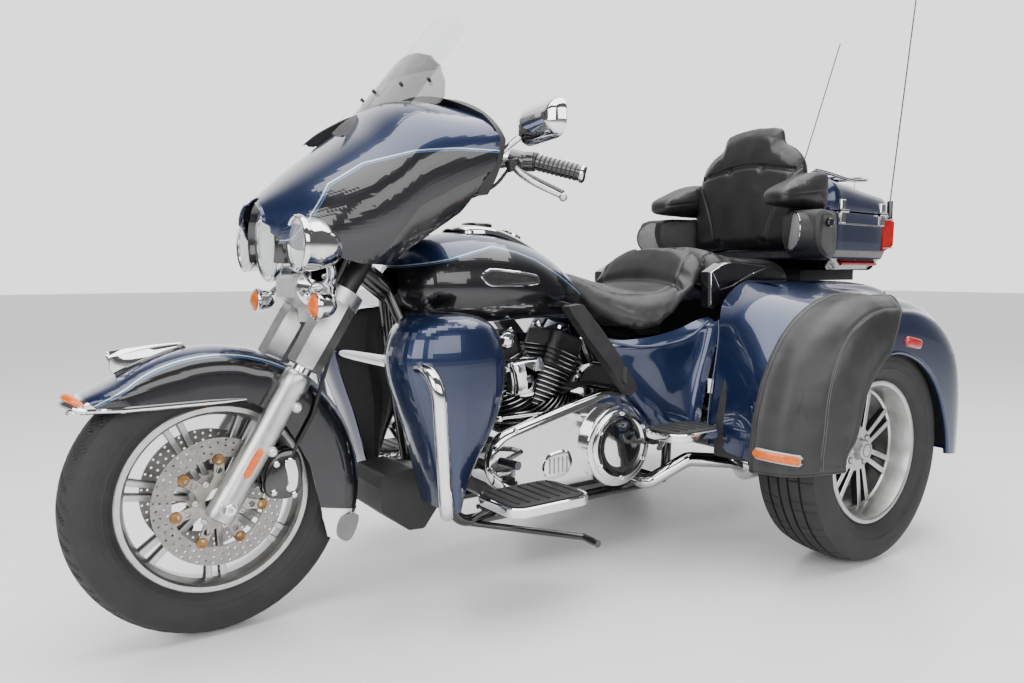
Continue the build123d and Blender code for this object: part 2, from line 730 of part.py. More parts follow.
with BuildPart() as exhaust:
    tube([at(790, -60, 560), at(740, -130, 545), at(735, -150, 470), at(790, -165, 225), at(1240, -165, 205),
          at(1380, -235, 262), at(1480, -muffler_offset, 236), at(1540, -muffler_offset, muffler_height)], 38,
         pipe_radius)
    tube([at(1005, -60, 560), at(1040, -130, 540), at(1075, -160, 470), at(1090, -165, 215)], 30, pipe_radius)
    tube([at(1215, -165, 206), at(1225, 40, 205), at(1245, 170, 190), at(1350, 235, 262),
          at(1480, muffler_offset, 250), at(1540, muffler_offset, muffler_height)], 38, pipe_radius)
    for side in (1, -1):
        y = side * muffler_offset
        bar(at(1530, y, muffler_height), at(2235, y, muffler_height), muffler_radius)
        bar(at(2180, y, muffler_height), at(2265, y, muffler_height), muffler_radius - 6)
        bar(at(2230, y, muffler_height), at(2265, y, muffler_height), muffler_radius - 10, mode=Mode.SUBTRACT)
    add(front_cylinder, mode=Mode.SUBTRACT)
    add(rear_cylinder, mode=Mode.SUBTRACT)
    add(crankcase.part, mode=Mode.SUBTRACT)
    add(frame.part, mode=Mode.SUBTRACT)
write(exhaust, "exhaust")

# Tank and console
with BuildPart() as fuel_tank:
    egg_loft(tank_rows)
    slab([(470, 690), (1080, 690), (1080, 772), (470, 800)], -backbone_radius - part_clearance,
         backbone_radius + part_clearance, mode=Mode.SUBTRACT)
    add(frame.part, mode=Mode.SUBTRACT)
write(fuel_tank, "fuel_tank")

with BuildPart() as tank_console:
    slab([(640, 900), (640, 948), (680, 984), (760, 990), (900, 935), (1045, 848), (1045, 770), (900, 850),
          (760, 895)], -72, 72, corner=8)
    add(fuel_tank.part, mode=Mode.SUBTRACT)
write(tank_console, "tank_console")

# Guards and shields
guard_half = [at(568, cradle_offset + frame_tube_radius, 268), at(440, 330, 262), at(395, guard_half_width, 616)]
guard_path = both_sides(guard_half)

with BuildPart() as engine_guard:
    tube(guard_path, guard_bend, guard_radius)
    add(frame.part, mode=Mode.SUBTRACT)
write(engine_guard, "engine_guard")

with BuildPart() as leg_shields:
    for side in (1, -1):
        low, high = sorted((side * 138, side * 325))
        slab(shield_outline, low, high, corner=9)
        low, high = sorted((side * 130, side * (325 - body_wall)))
        slab(shield_outline, low, high, grow=-5, mode=Mode.SUBTRACT)
    tube(guard_path, guard_bend, guard_radius + 0.3, mode=Mode.SUBTRACT)
write(leg_shields, "leg_shields")

with BuildPart() as coolant_box:
    slab([(388, 290), (400, 322), (480, 328), (562, 305), (566, 225), (515, 162), (470, 165), (392, 226)], -84, 84,
         corner=12)
    bar(at(555, 0, 260), at(660, 0, 260), 20)
    add(crankcase.part, mode=Mode.SUBTRACT)
write(coolant_box, "coolant_box")

# Rear body
door_pin_station = body_rear + 8
plan_rows = [(1000, 190), (1200, 268), (1370, 272), (1430, body_half_width), (2260, body_half_width), (2330, 350)]


def body_volume(grow, mode=Mode.ADD):
    """The rear body's whole volume, from its side outline and its plan outline."""
    with BuildPart(mode=Mode.PRIVATE) as whole:
        slab(body_outline, -body_half_width, body_half_width, grow=grow)
        plan(plan_rows, 200, 900, grow=grow, mode=Mode.INTERSECT)
    return whole.part


rear_body_shell = body_volume(0)
rear_body_hollow = body_volume(-body_wall)


def fender_volume(grow, y_low, y_high, rounding):
    """The left rear fender as a solid, with its outer edge rounded and its ends swept in."""
    with BuildPart(mode=Mode.PRIVATE) as whole:
        slab(rear_fender_outline, y_low, y_high, grow=grow)
        rim_edges = whole.faces().sort_by(Axis.Y)[-1].edges().sort_by(Axis.Z)[1:]
        fillet(rim_edges, rounding)
        with BuildSketch() as footprint:
            Polygon(*[(back(s), y) for s, y in rear_fender_plan], align=None)
            offset(amount=grow, kind=Kind.INTERSECTION)
        extrude(to_extrude=footprint.sketch, amount=900, mode=Mode.INTERSECT)
    return whole.part


with BuildPart() as rear_body:
    add(rear_body_shell)
    with BuildPart(mode=Mode.PRIVATE) as cabin:
        add(rear_body_hollow)
        block(trunk_front - body_wall, trunk_front, -400, 400, 200, 900, mode=Mode.SUBTRACT)
    add(cabin.part, mode=Mode.SUBTRACT)
    block(960, 1400, -184, 184, 300, 632, mode=Mode.SUBTRACT)
    derby_reach = primary_outer + derby_depth + part_clearance
    block(960, 1240, -derby_reach, derby_reach, 300, 515, mode=Mode.SUBTRACT)
    block(960, 1230, -130, 130, 560, 700, mode=Mode.SUBTRACT)
    block(1380, trunk_front - body_wall, -330, 330, 300, 500, mode=Mode.SUBTRACT)
    fender_shell = fender_volume(0, body_half_width - 0.01, fender_outer, fender_round)
    fender_inside = fender_volume(-body_wall, body_half_width + body_wall, fender_outer - body_wall,
                                  fender_round - body_wall)
    for side in (1, -1):
        add(fender_shell if side == 1 else mirror(fender_shell, about=Plane.XZ, mode=Mode.PRIVATE))
        add(fender_inside if side == 1 else mirror(fender_inside, about=Plane.XZ, mode=Mode.PRIVATE),
            mode=Mode.SUBTRACT)
        low, high = sorted((side * (body_half_width + body_wall), side * (fender_outer - body_wall)))
        slab([(1284, 250), (1284, 330), (2150, 330), (2150, 250)], low, high, mode=Mode.SUBTRACT)
        low, high = sorted((side * 640, side * 720))
        bar(Vector(rear_axle.X, low, rear_axle.Z), Vector(rear_axle.X, high, rear_axle.Z), arch_radius,
            mode=Mode.SUBTRACT)
        block(wheelbase - arch_radius, wheelbase + arch_radius, low, high, 200, 320, mode=Mode.SUBTRACT)
        low, high = sorted((side * 375, side * 400))
        block(1600, 1740, low, high, 200, 400, mode=Mode.SUBTRACT)
    block(body_rear - 20, body_rear + 20, -door_half_width, door_half_width, door_bottom, door_top, mode=Mode.SUBTRACT)
    for z in door_barrels:
        bar(at(door_pin_station, door_pin_offset, z + 17), at(door_pin_station, door_pin_offset, z + 33),
            door_pin_radius)
        block(body_rear - 6, door_pin_station + 4, door_pin_offset + 5, door_half_width + 14, z + 17, z + 33)
write(rear_body, "rear_body")

with BuildPart() as fender_covers:
    outer = fender_volume(cover_gap + cover_thickness, 400, fender_outer + cover_gap + cover_thickness,
                          fender_round + cover_gap + cover_thickness)
    inner = fender_volume(cover_gap, 399, fender_outer + cover_gap, fender_round + cover_gap)
    add(outer)
    add(inner, mode=Mode.SUBTRACT)
    block(cover_rear, 2300, 300, 800, 100, 900, mode=Mode.SUBTRACT)
    block(1100, 2300, 300, 800, 100, 303, mode=Mode.SUBTRACT)
    bar(Vector(rear_axle.X, 640, rear_axle.Z), Vector(rear_axle.X, 720, rear_axle.Z), arch_radius, mode=Mode.SUBTRACT)
    mirror(about=Plane.XZ)
write(fender_covers, "fender_covers")

with BuildPart() as trunk_door:
    block(body_rear - 8, body_rear - 8 + door_thickness, -door_half_width + door_gap, door_half_width - door_gap,
          door_bottom + door_gap, door_top - door_gap)
    fillet(trunk_door.edges().filter_by(Axis.X), 20)
    block(body_rear + 4, body_rear + 12, -95, 95, 500, 640)
    for z in door_barrels:
        bar(at(door_pin_station, door_pin_offset, z - 16), at(door_pin_station, door_pin_offset, z + 16),
            door_pin_radius)
        bar(at(door_pin_station, door_pin_offset, z + 16), at(door_pin_station, door_pin_offset, z + 34),
            door_pin_radius + 1.5, mode=Mode.SUBTRACT)
    for y in (-plate_spacing_y / 2, plate_spacing_y / 2):
        for z in (plate_height - plate_spacing_z / 2, plate_height + plate_spacing_z / 2):
            bar(at(body_rear - 20, y, z), at(body_rear + 20, y, z), plate_hole_radius, mode=Mode.SUBTRACT)
write(trunk_door, "trunk_door")

with BuildPart() as side_covers:
    for side in (1, -1):
        low, high = sorted((side * 190, side * 224))
        slab([(884, 742), (936, 748), (1010, 672), (1100, 570), (1152, 500), (1118, 476), (1040, 566), (955, 656)], low,
             high, corner=6)
    add(rear_body.part, mode=Mode.SUBTRACT)
write(side_covers, "side_covers")

# Seats
def cushion(rows, corner):
    """Lofts rounded sections from rows of station, half width, low and high."""
    sections = []
    for station, half_width, low, high in rows:
        with BuildSketch(cross_plane(station)) as section:
            with Locations((0, (low + high) / 2)):
                RectangleRounded(2 * half_width, high - low, corner)
        sections.append(section.sketch)
    loft(sections=sections, ruled=True)


with BuildPart() as rider_seat:
    cushion([(1014, 75, 800, 862), (1100, 145, 690, 815), (1200, 200, 652, 790), (1310, 218, 672, 778),
             (1390, 224, 725, 812), (1452, 222, 778, 906)], 28)
    add(frame.part, mode=Mode.SUBTRACT)
    add(fuel_tank.part, mode=Mode.SUBTRACT)
    add(tank_console.part, mode=Mode.SUBTRACT)
    add(rear_body_shell, mode=Mode.SUBTRACT)
write(rider_seat, "rider_seat")

with BuildPart() as pillion_seat:
    cushion([(1453, 222, 780, 908), (1500, 234, 800, 914), (1580, 240, 803.5, 888), (1700, 248, 803.5, 872),
             (1852, 235, 803.5, 872)], 28)
    add(rear_body_shell, mode=Mode.SUBTRACT)
write(pillion_seat, "pillion_seat")

# Top case
case_rows = [(case_front, case_front_half_width), (case_rear, case_rear_half_width)]
lid_rows = [(case_front + lid_front_gap, case_front_half_width), (case_rear, case_rear_half_width)]


def on_hinge(station):
    """The point of the lid's hinge axis at this station, outside the case's left wall."""
    share = (station - case_front) / (case_rear - case_front)
    wall = case_front_half_width + share * (case_rear_half_width - case_front_half_width)
    return at(station, wall + hinge_radius + 2, case_split + lid_gap / 2)


with BuildPart() as case_cavity:
    plan(case_rows, case_floor + case_wall, case_split + 1, corner=case_corner - case_wall, grow=-case_wall)

with BuildPart() as topcase_base:
    plan(case_rows, case_floor, case_split, corner=case_corner)
    fillet(topcase_base.faces().sort_by(Axis.Z)[0].edges(), 20)
    block(2010, 2340, -150, 150, 803, case_floor + 3)
    for station in hinge_stations:
        bar(on_hinge(station - 8), on_hinge(station + 8), hinge_radius)
        block(station - 8, station + 8, on_hinge(station).Y - 14, on_hinge(station).Y + 2, case_split - 30,
              case_split - 2)
    add(case_cavity.part, mode=Mode.SUBTRACT)
write(topcase_base, "topcase_base")

with BuildPart() as topcase_lid:
    plan(lid_rows, case_split + lid_gap, case_lid_top, corner=case_corner)
    fillet(topcase_lid.faces().sort_by(Axis.Z)[-1].edges(), 34)
    for station in hinge_stations:
        for low in (station - 24, station + 9):
            bar(on_hinge(low), on_hinge(low + 15), hinge_radius)
            block(low, low + 15, on_hinge(station).Y - 14, on_hinge(station).Y + 2, case_split + lid_gap + 3,
                  case_split + lid_gap + 34)
    plan(lid_rows, case_split, case_lid_top - case_wall - 20, corner=case_corner - case_wall, grow=-case_wall,
         mode=Mode.SUBTRACT)
write(topcase_lid, "topcase_lid")

with BuildPart() as luggage_rack:
    rack_height = case_lid_top + rack_rise
    half = [at(2062, 108, case_lid_top), at(2085, 130, rack_height), at(2300, 150, rack_height),
            at(2405, 155, rack_height + 16), at(2432, 60, rack_height + 24)]
    tube(both_sides(half), 22, rack_tube_radius)
    for side in (1, -1):
        bar(at(2330, side * 151, case_lid_top), at(2330, side * 151, rack_height + 2), rack_tube_radius - 1)
    for station in (2130, 2190, 2250, 2310):
        reach = min(130 + (station - 2085) * 20 / 215, 151)
        bar(at(station, -reach, rack_height), at(station, reach, rack_height), rack_tube_radius - 2)
    add(topcase_lid.part, mode=Mode.SUBTRACT)
write(luggage_rack, "luggage_rack")

with BuildPart() as speaker_pods:
    for side in (1, -1):
        with BuildSketch(Plane.XY.offset(case_floor - 10)) as footprint:
            Polygon(*[(back(s), side * y) for s, y in ((1742, 258), (1742, 392), (1790, 400), (case_front, 318),
                                                       (case_front, 258))], align=None)
        extrude(to_extrude=footprint.sketch, amount=200)
    slab([(1742, 925), (1738, 1010), (1775, 1038), (case_front, 1034), (case_front, 890), (1800, 872)], -410, 410,
         corner=12, mode=Mode.INTERSECT)
    add(topcase_base.part, mode=Mode.SUBTRACT)
write(speaker_pods, "speaker_pods")

with BuildPart() as backrest:
    with BuildSketch(cross_plane(case_front + 40)) as pad:
        Polygon(*backrest_outline, align=None)
        fillet(pad.vertices(), 14)
    extrude(to_extrude=pad.sketch, amount=200)
    slab([(1862, 900), (1868, 1000), (1886, 1200), (1910, 1360), (case_front, 1360), (case_front, 900)], -300, 300,
         mode=Mode.INTERSECT)
    for side in (1, -1):
        low, high = sorted((side * 205, side * 308))
        slab([(1705, 1046), (1702, 1100), (1765, 1132), (1870, 1168), (case_front, 1172), (case_front, 1046)], low,
             high, corner=16)
write(backrest, "backrest")

with BuildPart() as rear_lamps:
    for side in (1, -1):
        low, high = sorted((side * 170, side * 262))
        slab([(case_rear - 60, 905), (case_rear + 12, 930), (case_rear + 16, 1020), (case_rear - 60, 1032)], low, high,
             corner=8)
        low, high = sorted((side * 400, side * 560))
        slab([(2150, 500), (2178, 490), (2180, 590), (2140, 596)], low, high)
    add(topcase_base.part, mode=Mode.SUBTRACT)
    with BuildPart(mode=Mode.PRIVATE) as case_fill:
        plan(case_rows, case_floor, case_split, corner=case_corner)
    add(case_fill.part, mode=Mode.SUBTRACT)
    add(rear_body.part, mode=Mode.SUBTRACT)
    for side in (1, -1):
        part_inside = fender_inside if side == 1 else mirror(fender_inside, about=Plane.XZ, mode=Mode.PRIVATE)
        add(part_inside, mode=Mode.SUBTRACT)
write(rear_lamps, "rear_lamps")

with BuildPart() as aerials:
    for side, lean_angle in ((1, left_aerial_lean), (-1, right_aerial_lean)):
        y = side * aerial_offset
        foot = at(aerial_station, y, aerial_base_height)
        direction = Vector(-sin(radians(lean_angle)), 0, cos(radians(lean_angle)))
        bar(foot - Vector(0, 0, 70), foot, 11)
        bar(foot - Vector(0, 0, 4), foot + direction * aerial_length, aerial_radius)
        bar(foot - Vector(0, 0, 60), at(case_rear - 20, y - side * 10, 1000), 9)
    add(case_fill.part, mode=Mode.SUBTRACT)
    add(rear_lamps.part, mode=Mode.SUBTRACT)
write(aerials, "aerials")

# Footboards and pedals
for side, word in ((1, "left"), (-1, "right")):
    for name, front, length, hinge, outer_edge, height in (
        ("rider_board", board_front, board_length, board_hinge_offset, board_outer, board_height),
        ("passenger_board", small_board_front, small_board_length, small_board_hinge_offset, small_board_outer,
         small_board_height),
    ):
        with BuildPart() as board:
            with BuildSketch(Plane.XY.offset(height - board_thickness / 2)) as outline:
                with Locations((back(front + length / 2), side * (hinge + outer_edge) / 2)):
                    RectangleRounded(length, outer_edge - hinge, 40)
            extrude(to_extrude=outline.sketch, amount=board_thickness)
            for station in (front + 40, front + length - 40):
                low, high = sorted((side * (hinge - 11), side * (hinge + 20)))
                block(station - 12, station + 12, low, high, height - hinge_drop - 11, height - 8)
            low, high = back(front + length + 5), back(front - 5)
            bar(Vector(low, side * hinge, height - hinge_drop), Vector(high, side * hinge, height - hinge_drop),
                hinge_pin_radius + running_clearance, mode=Mode.SUBTRACT)
        write(board, f"{name}_{word}")

with BuildPart() as pedals:
    tube([at(735, primary_outer - 30, 362), at(735, 215, 362), at(620, 298, 368)], 12, 7)
    bar(at(618, 290, 368), at(628, 352, 368), 11)
    bar(at(665, -cradle_offset, 175), at(605, -300, 366), 8)
    bar(at(605, -255, 372), at(605, -345, 372), 13)
    bar(at(640, cradle_offset, 160), at(860, 330, 138), 9)
    bar(at(858, 320, 138), at(862, 380, 134), 10)
    add(frame.part, mode=Mode.SUBTRACT)
    add(primary_cover.part, mode=Mode.SUBTRACT)
write(pedals, "pedals")
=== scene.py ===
import bpy
import bmesh
import json
from math import atan2, cos, hypot, pi, radians, sin, sqrt
from mathutils import Matrix, Vector, noise


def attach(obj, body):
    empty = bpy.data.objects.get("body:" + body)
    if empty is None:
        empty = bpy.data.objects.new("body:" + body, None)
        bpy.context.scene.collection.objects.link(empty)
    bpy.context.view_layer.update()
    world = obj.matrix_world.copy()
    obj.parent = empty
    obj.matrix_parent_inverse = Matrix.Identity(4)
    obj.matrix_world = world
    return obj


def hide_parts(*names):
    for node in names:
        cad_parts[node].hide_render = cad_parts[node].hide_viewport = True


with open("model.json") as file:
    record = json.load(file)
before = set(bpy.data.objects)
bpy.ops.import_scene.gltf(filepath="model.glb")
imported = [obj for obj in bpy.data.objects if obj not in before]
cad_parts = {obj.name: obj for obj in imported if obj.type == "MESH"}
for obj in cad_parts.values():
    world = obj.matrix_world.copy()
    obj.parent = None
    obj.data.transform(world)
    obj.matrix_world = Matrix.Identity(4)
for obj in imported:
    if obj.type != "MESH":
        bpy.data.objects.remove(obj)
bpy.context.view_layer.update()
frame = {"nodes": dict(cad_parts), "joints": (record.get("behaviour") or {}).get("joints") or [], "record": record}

JOINTS = {row["name"]: row for row in frame["joints"]}
AXLE_X = JOINTS["front_wheel_spin"]["pos_m"][0]
TURN = 2 * pi


def at(station, y, z):
    """A point from its distance behind the front axle, side offset and height, in millimetres."""
    return Vector((AXLE_X - station / 1000, y / 1000, z / 1000))


# Camera and light, in metres from the front axle and in radians
CAMERA_YAW, CAMERA_PITCH = -2.182811, -0.089988
CAMERA_AHEAD, CAMERA_LEFT, CAMERA_HEIGHT = 0.466905, 1.885115, 0.840538
LENS_MM, SENSOR_MM = 27.859, 36


def add_object(name, data):
    """A new object in the scene for this mesh, curve, lamp or camera."""
    obj = bpy.data.objects.new(name, data)
    bpy.context.scene.collection.objects.link(obj)
    return obj


def make_camera():
    """The camera that was fitted to the photograph."""
    flat = cos(CAMERA_PITCH)
    forward = Vector((flat * cos(CAMERA_YAW), flat * sin(CAMERA_YAW), sin(CAMERA_PITCH)))
    right = forward.cross(Vector((0, 0, 1))).normalized()
    up = right.cross(forward)
    data = bpy.data.cameras.new("camera")
    data.sensor_width = SENSOR_MM
    data.sensor_fit = "HORIZONTAL"
    data.lens = LENS_MM
    data.clip_end = 60
    camera = add_object("camera", data)
    place = Matrix((right, up, -forward)).transposed().to_4x4()
    place.translation = Vector((AXLE_X + CAMERA_AHEAD, CAMERA_LEFT, CAMERA_HEIGHT))
    camera.matrix_world = place
    bpy.context.scene.camera = camera


def area(name, place, target, size, power):
    data = bpy.data.lights.new(name, "AREA")
    data.shape = "RECTANGLE"
    data.size, data.size_y = size
    data.energy = power
    light = add_object(name, data)
    light.location = place
    light.rotation_euler = (Vector(target) - Vector(place)).to_track_quat("-Z", "Y").to_euler()


make_camera()


# Materials
def material(name, colour, rough=0.5, metal=0.0, **more):
    """A principled material; more may hold coat, spec, vary, rough_vary, bump, cells and their scales."""
    mat = bpy.data.materials.new(name)
    mat.use_nodes = True
    tree = mat.node_tree
    link = tree.links.new
    shader = tree.nodes["Principled BSDF"]
    settings = {
        "Base Color": (*colour, 1), "Roughness": rough, "Metallic": metal, "Coat Weight": more.get("coat", 0),
        "Coat Roughness": more.get("coat_rough", 0.05), "Specular IOR Level": more.get("spec", 0.5),
    }
    for socket, value in settings.items():
        shader.inputs[socket].default_value = value
    where = tree.nodes.new("ShaderNodeTexCoord")
    if more.get("vary"):
        clouds = tree.nodes.new("ShaderNodeTexNoise")
        clouds.inputs["Scale"].default_value = more.get("vary_scale", 9)
        clouds.inputs["Detail"].default_value = 6
        link(where.outputs["Object"], clouds.inputs["Vector"])
        shades = tree.nodes.new("ShaderNodeValToRGB")
        for element, position, sign in zip(shades.color_ramp.elements, (0.35, 0.65), (-1, 1)):
            element.position = position
            element.color = (*(min(1, c * (1 + sign * more["vary"])) for c in colour), 1)
        link(clouds.outputs["Fac"], shades.inputs["Fac"])
        link(shades.outputs["Color"], shader.inputs["Base Color"])
        drift = more.get("rough_vary", 0.25)
        gloss = tree.nodes.new("ShaderNodeMapRange")
        gloss.inputs["To Min"].default_value = max(0.02, rough * (1 - drift))
        gloss.inputs["To Max"].default_value = min(1, rough * (1 + drift))
        link(clouds.outputs["Fac"], gloss.inputs["Value"])
        link(gloss.outputs["Result"], shader.inputs["Roughness"])
    if more.get("bump"):
        grain = tree.nodes.new("ShaderNodeTexVoronoi" if more.get("cells") else "ShaderNodeTexNoise")
        grain.inputs["Scale"].default_value = more.get("bump_scale", 300)
        link(where.outputs["Object"], grain.inputs["Vector"])
        bump = tree.nodes.new("ShaderNodeBump")
        bump.inputs["Strength"].default_value = more["bump"]
        bump.inputs["Distance"].default_value = more.get("bump_depth", 0.0005)
        link(grain.outputs["Distance" if more.get("cells") else "Fac"], bump.inputs["Height"])
        link(bump.outputs["Normal"], shader.inputs["Normal"])
    return mat


BLUE = (0.006, 0.016, 0.06)
blue = material("blue_paint", BLUE, 0.32, 0.55, coat=1, coat_rough=0.03, vary=0.12, vary_scale=900,
                rough_vary=0.2)
black_gloss = material("black_gloss", (0.006, 0.006, 0.007), 0.25, 0, coat=1, coat_rough=0.04, vary=0.2,
                       vary_scale=20)
black_satin = material("black_satin", (0.012, 0.012, 0.013), 0.42, 0, vary=0.3, vary_scale=40, bump=0.15,
                       bump_scale=600)
black_plastic = material("black_plastic", (0.018, 0.018, 0.019), 0.55, 0, vary=0.2, vary_scale=30, bump=0.35,
                         bump_scale=900, bump_depth=0.0003)
chrome = material("chrome", (0.78, 0.78, 0.79), 0.06, 1, vary=0.04, vary_scale=14, rough_vary=0.5)
alloy = material("alloy", (0.55, 0.55, 0.54), 0.34, 1, vary=0.1, vary_scale=25, bump=0.1, bump_scale=500)
alloy_dull = material("alloy_dull", (0.42, 0.40, 0.37), 0.45, 1, vary=0.25, vary_scale=22, bump=0.2,
                      bump_scale=350)
disc_steel = material("disc_steel", (0.30, 0.29, 0.28), 0.38, 1, vary=0.15, vary_scale=60, bump=0.1,
                      bump_scale=400)
rust = material("bobbin_brown", (0.28, 0.15, 0.06), 0.5, 0.8, vary=0.4, vary_scale=60)
leather = material("leather", (0.014, 0.014, 0.015), 0.42, 0, vary=0.2, vary_scale=12, bump=0.5,
                   bump_scale=420, cells=True, bump_depth=0.0004)
vinyl = material("vinyl", (0.02, 0.02, 0.021), 0.45, 0, vary=0.25, vary_scale=8, bump=0.4, bump_scale=500,
                 cells=True, bump_depth=0.0003)
rubber = material("rubber", (0.016, 0.016, 0.016), 0.62, 0, vary=0.3, vary_scale=30, bump=0.2, bump_scale=500)
tyre_black = material("tyre_black", (0.017, 0.017, 0.018), 0.68, 0, vary=0.3, vary_scale=18, bump=0.25,
                      bump_scale=260)
amber = material("amber_lens", (0.72, 0.13, 0.004), 0.22, 0, coat=0.25, vary=0.15, vary_scale=60)
red = material("red_lens", (0.42, 0.008, 0.006), 0.12, 0, coat=0.8, vary=0.2, vary_scale=50)
lamp_white = material("lamp_reflector", (0.8, 0.81, 0.82), 0.3, 0.1, vary=0.1, vary_scale=30)
grey_panel = material("grey_panel", (0.2, 0.2, 0.2), 0.5, 0.3, vary=0.1, vary_scale=40)
line_light = material("line_light", (0.5, 0.55, 0.55), 0.3, 0.3, coat=0.5)


def glass(name, colour, rough, alpha):
    mat = material(name, colour, rough, 0, spec=0.6)
    shader = mat.node_tree.nodes["Principled BSDF"]
    shader.inputs["Alpha"].default_value = alpha
    return mat


tint = glass("tinted_screen", (0.05, 0.045, 0.045), 0.04, 0.55)
clear = glass("clear_screen", (0.72, 0.75, 0.76), 0.03, 0.26)
lens_clear = glass("lens_clear", (0.85, 0.87, 0.88), 0.05, 0.3)

DEFAULTS = {
    "blue_paint": blue, "black_steel": black_gloss, "black_casting": black_satin, "chrome": chrome,
    "aluminium": alloy,
    "disc_steel": disc_steel, "black_plastic": black_plastic, "leather": leather, "vinyl": vinyl,
    "rubber": rubber,
    "tyre": tyre_black, "red_lens": red, "tinted_screen": tint, "clear_screen": clear,
}
SLOTS = {row["node"]: row["material_slot"] for row in frame["record"]["subparts"]}
for name, obj in frame["nodes"].items():
    obj.data.materials.clear()
    obj.data.materials.append(DEFAULTS[SLOTS[name]])


# Shape helpers: millimetre points (station, y, z) become metres in the row frame
def catmull(a, b, c, d, t):
    """The point between b and c at t, on a Catmull-Rom curve with neighbours a and d."""
    return 0.5 * ((2 * b) + (c - a) * t + (2 * a - 5 * b + 4 * c - d) * t * t
                  + (3 * b - a - 3 * c + d) * t ** 3)


def curve(points, steps, closed=False):
    """Catmull-Rom points through the given ones, with this many steps between neighbours."""
    pts = [Vector(p) for p in points]
    count = len(pts)
    if steps <= 1 or count < 3:
        return pts
    out = []
    for i in range(count if closed else count - 1):
        b, c = pts[i], pts[(i + 1) % count]
        a = pts[(i - 1) % count] if closed or i else b * 2 - c
        d = pts[(i + 2) % count] if closed or i + 2 < count else c * 2 - b
        out += [catmull(a, b, c, d, k / steps) for k in range(steps)]
    return out if closed else [*out, pts[-1]]


def lerp(a, b, t):
    return a + (b - a) * t


def smooth(low, high, x):
    t = min(1, max(0, (x - low) / (high - low)))
    return t * t * (3 - 2 * t)


def ramp(table, x):
    """The value at x of a table of (x, value) rows, in straight runs."""
    if x <= table[0][0]:
        return table[0][1]
    for (x0, v0), (x1, v1) in zip(table, table[1:]):
        if x <= x1:
            return lerp(v0, v1, (x - x0) / (x1 - x0))
    return table[-1][1]


def ring_of(centre, u, v, radius, n):
    """Metre points round a centre in the plane of u and v; the radius is in millimetres."""
    return [centre + (u * cos(TURN * k / n) + v * sin(TURN * k / n)) * (radius / 1000) for k in range(n)]


def weld(mesh, distance):
    """Joins points that meet and turns the faces outward."""
    work = bmesh.new()
    work.from_mesh(mesh)
    bmesh.ops.remove_doubles(work, verts=work.verts, dist=distance)
    bmesh.ops.recalc_face_normals(work, faces=work.faces)
    work.to_mesh(mesh)
    work.free()


def make_active(obj):
    bpy.context.view_layer.objects.active = obj
    for other in bpy.context.selected_objects:
        other.select_set(False)
    obj.select_set(True)


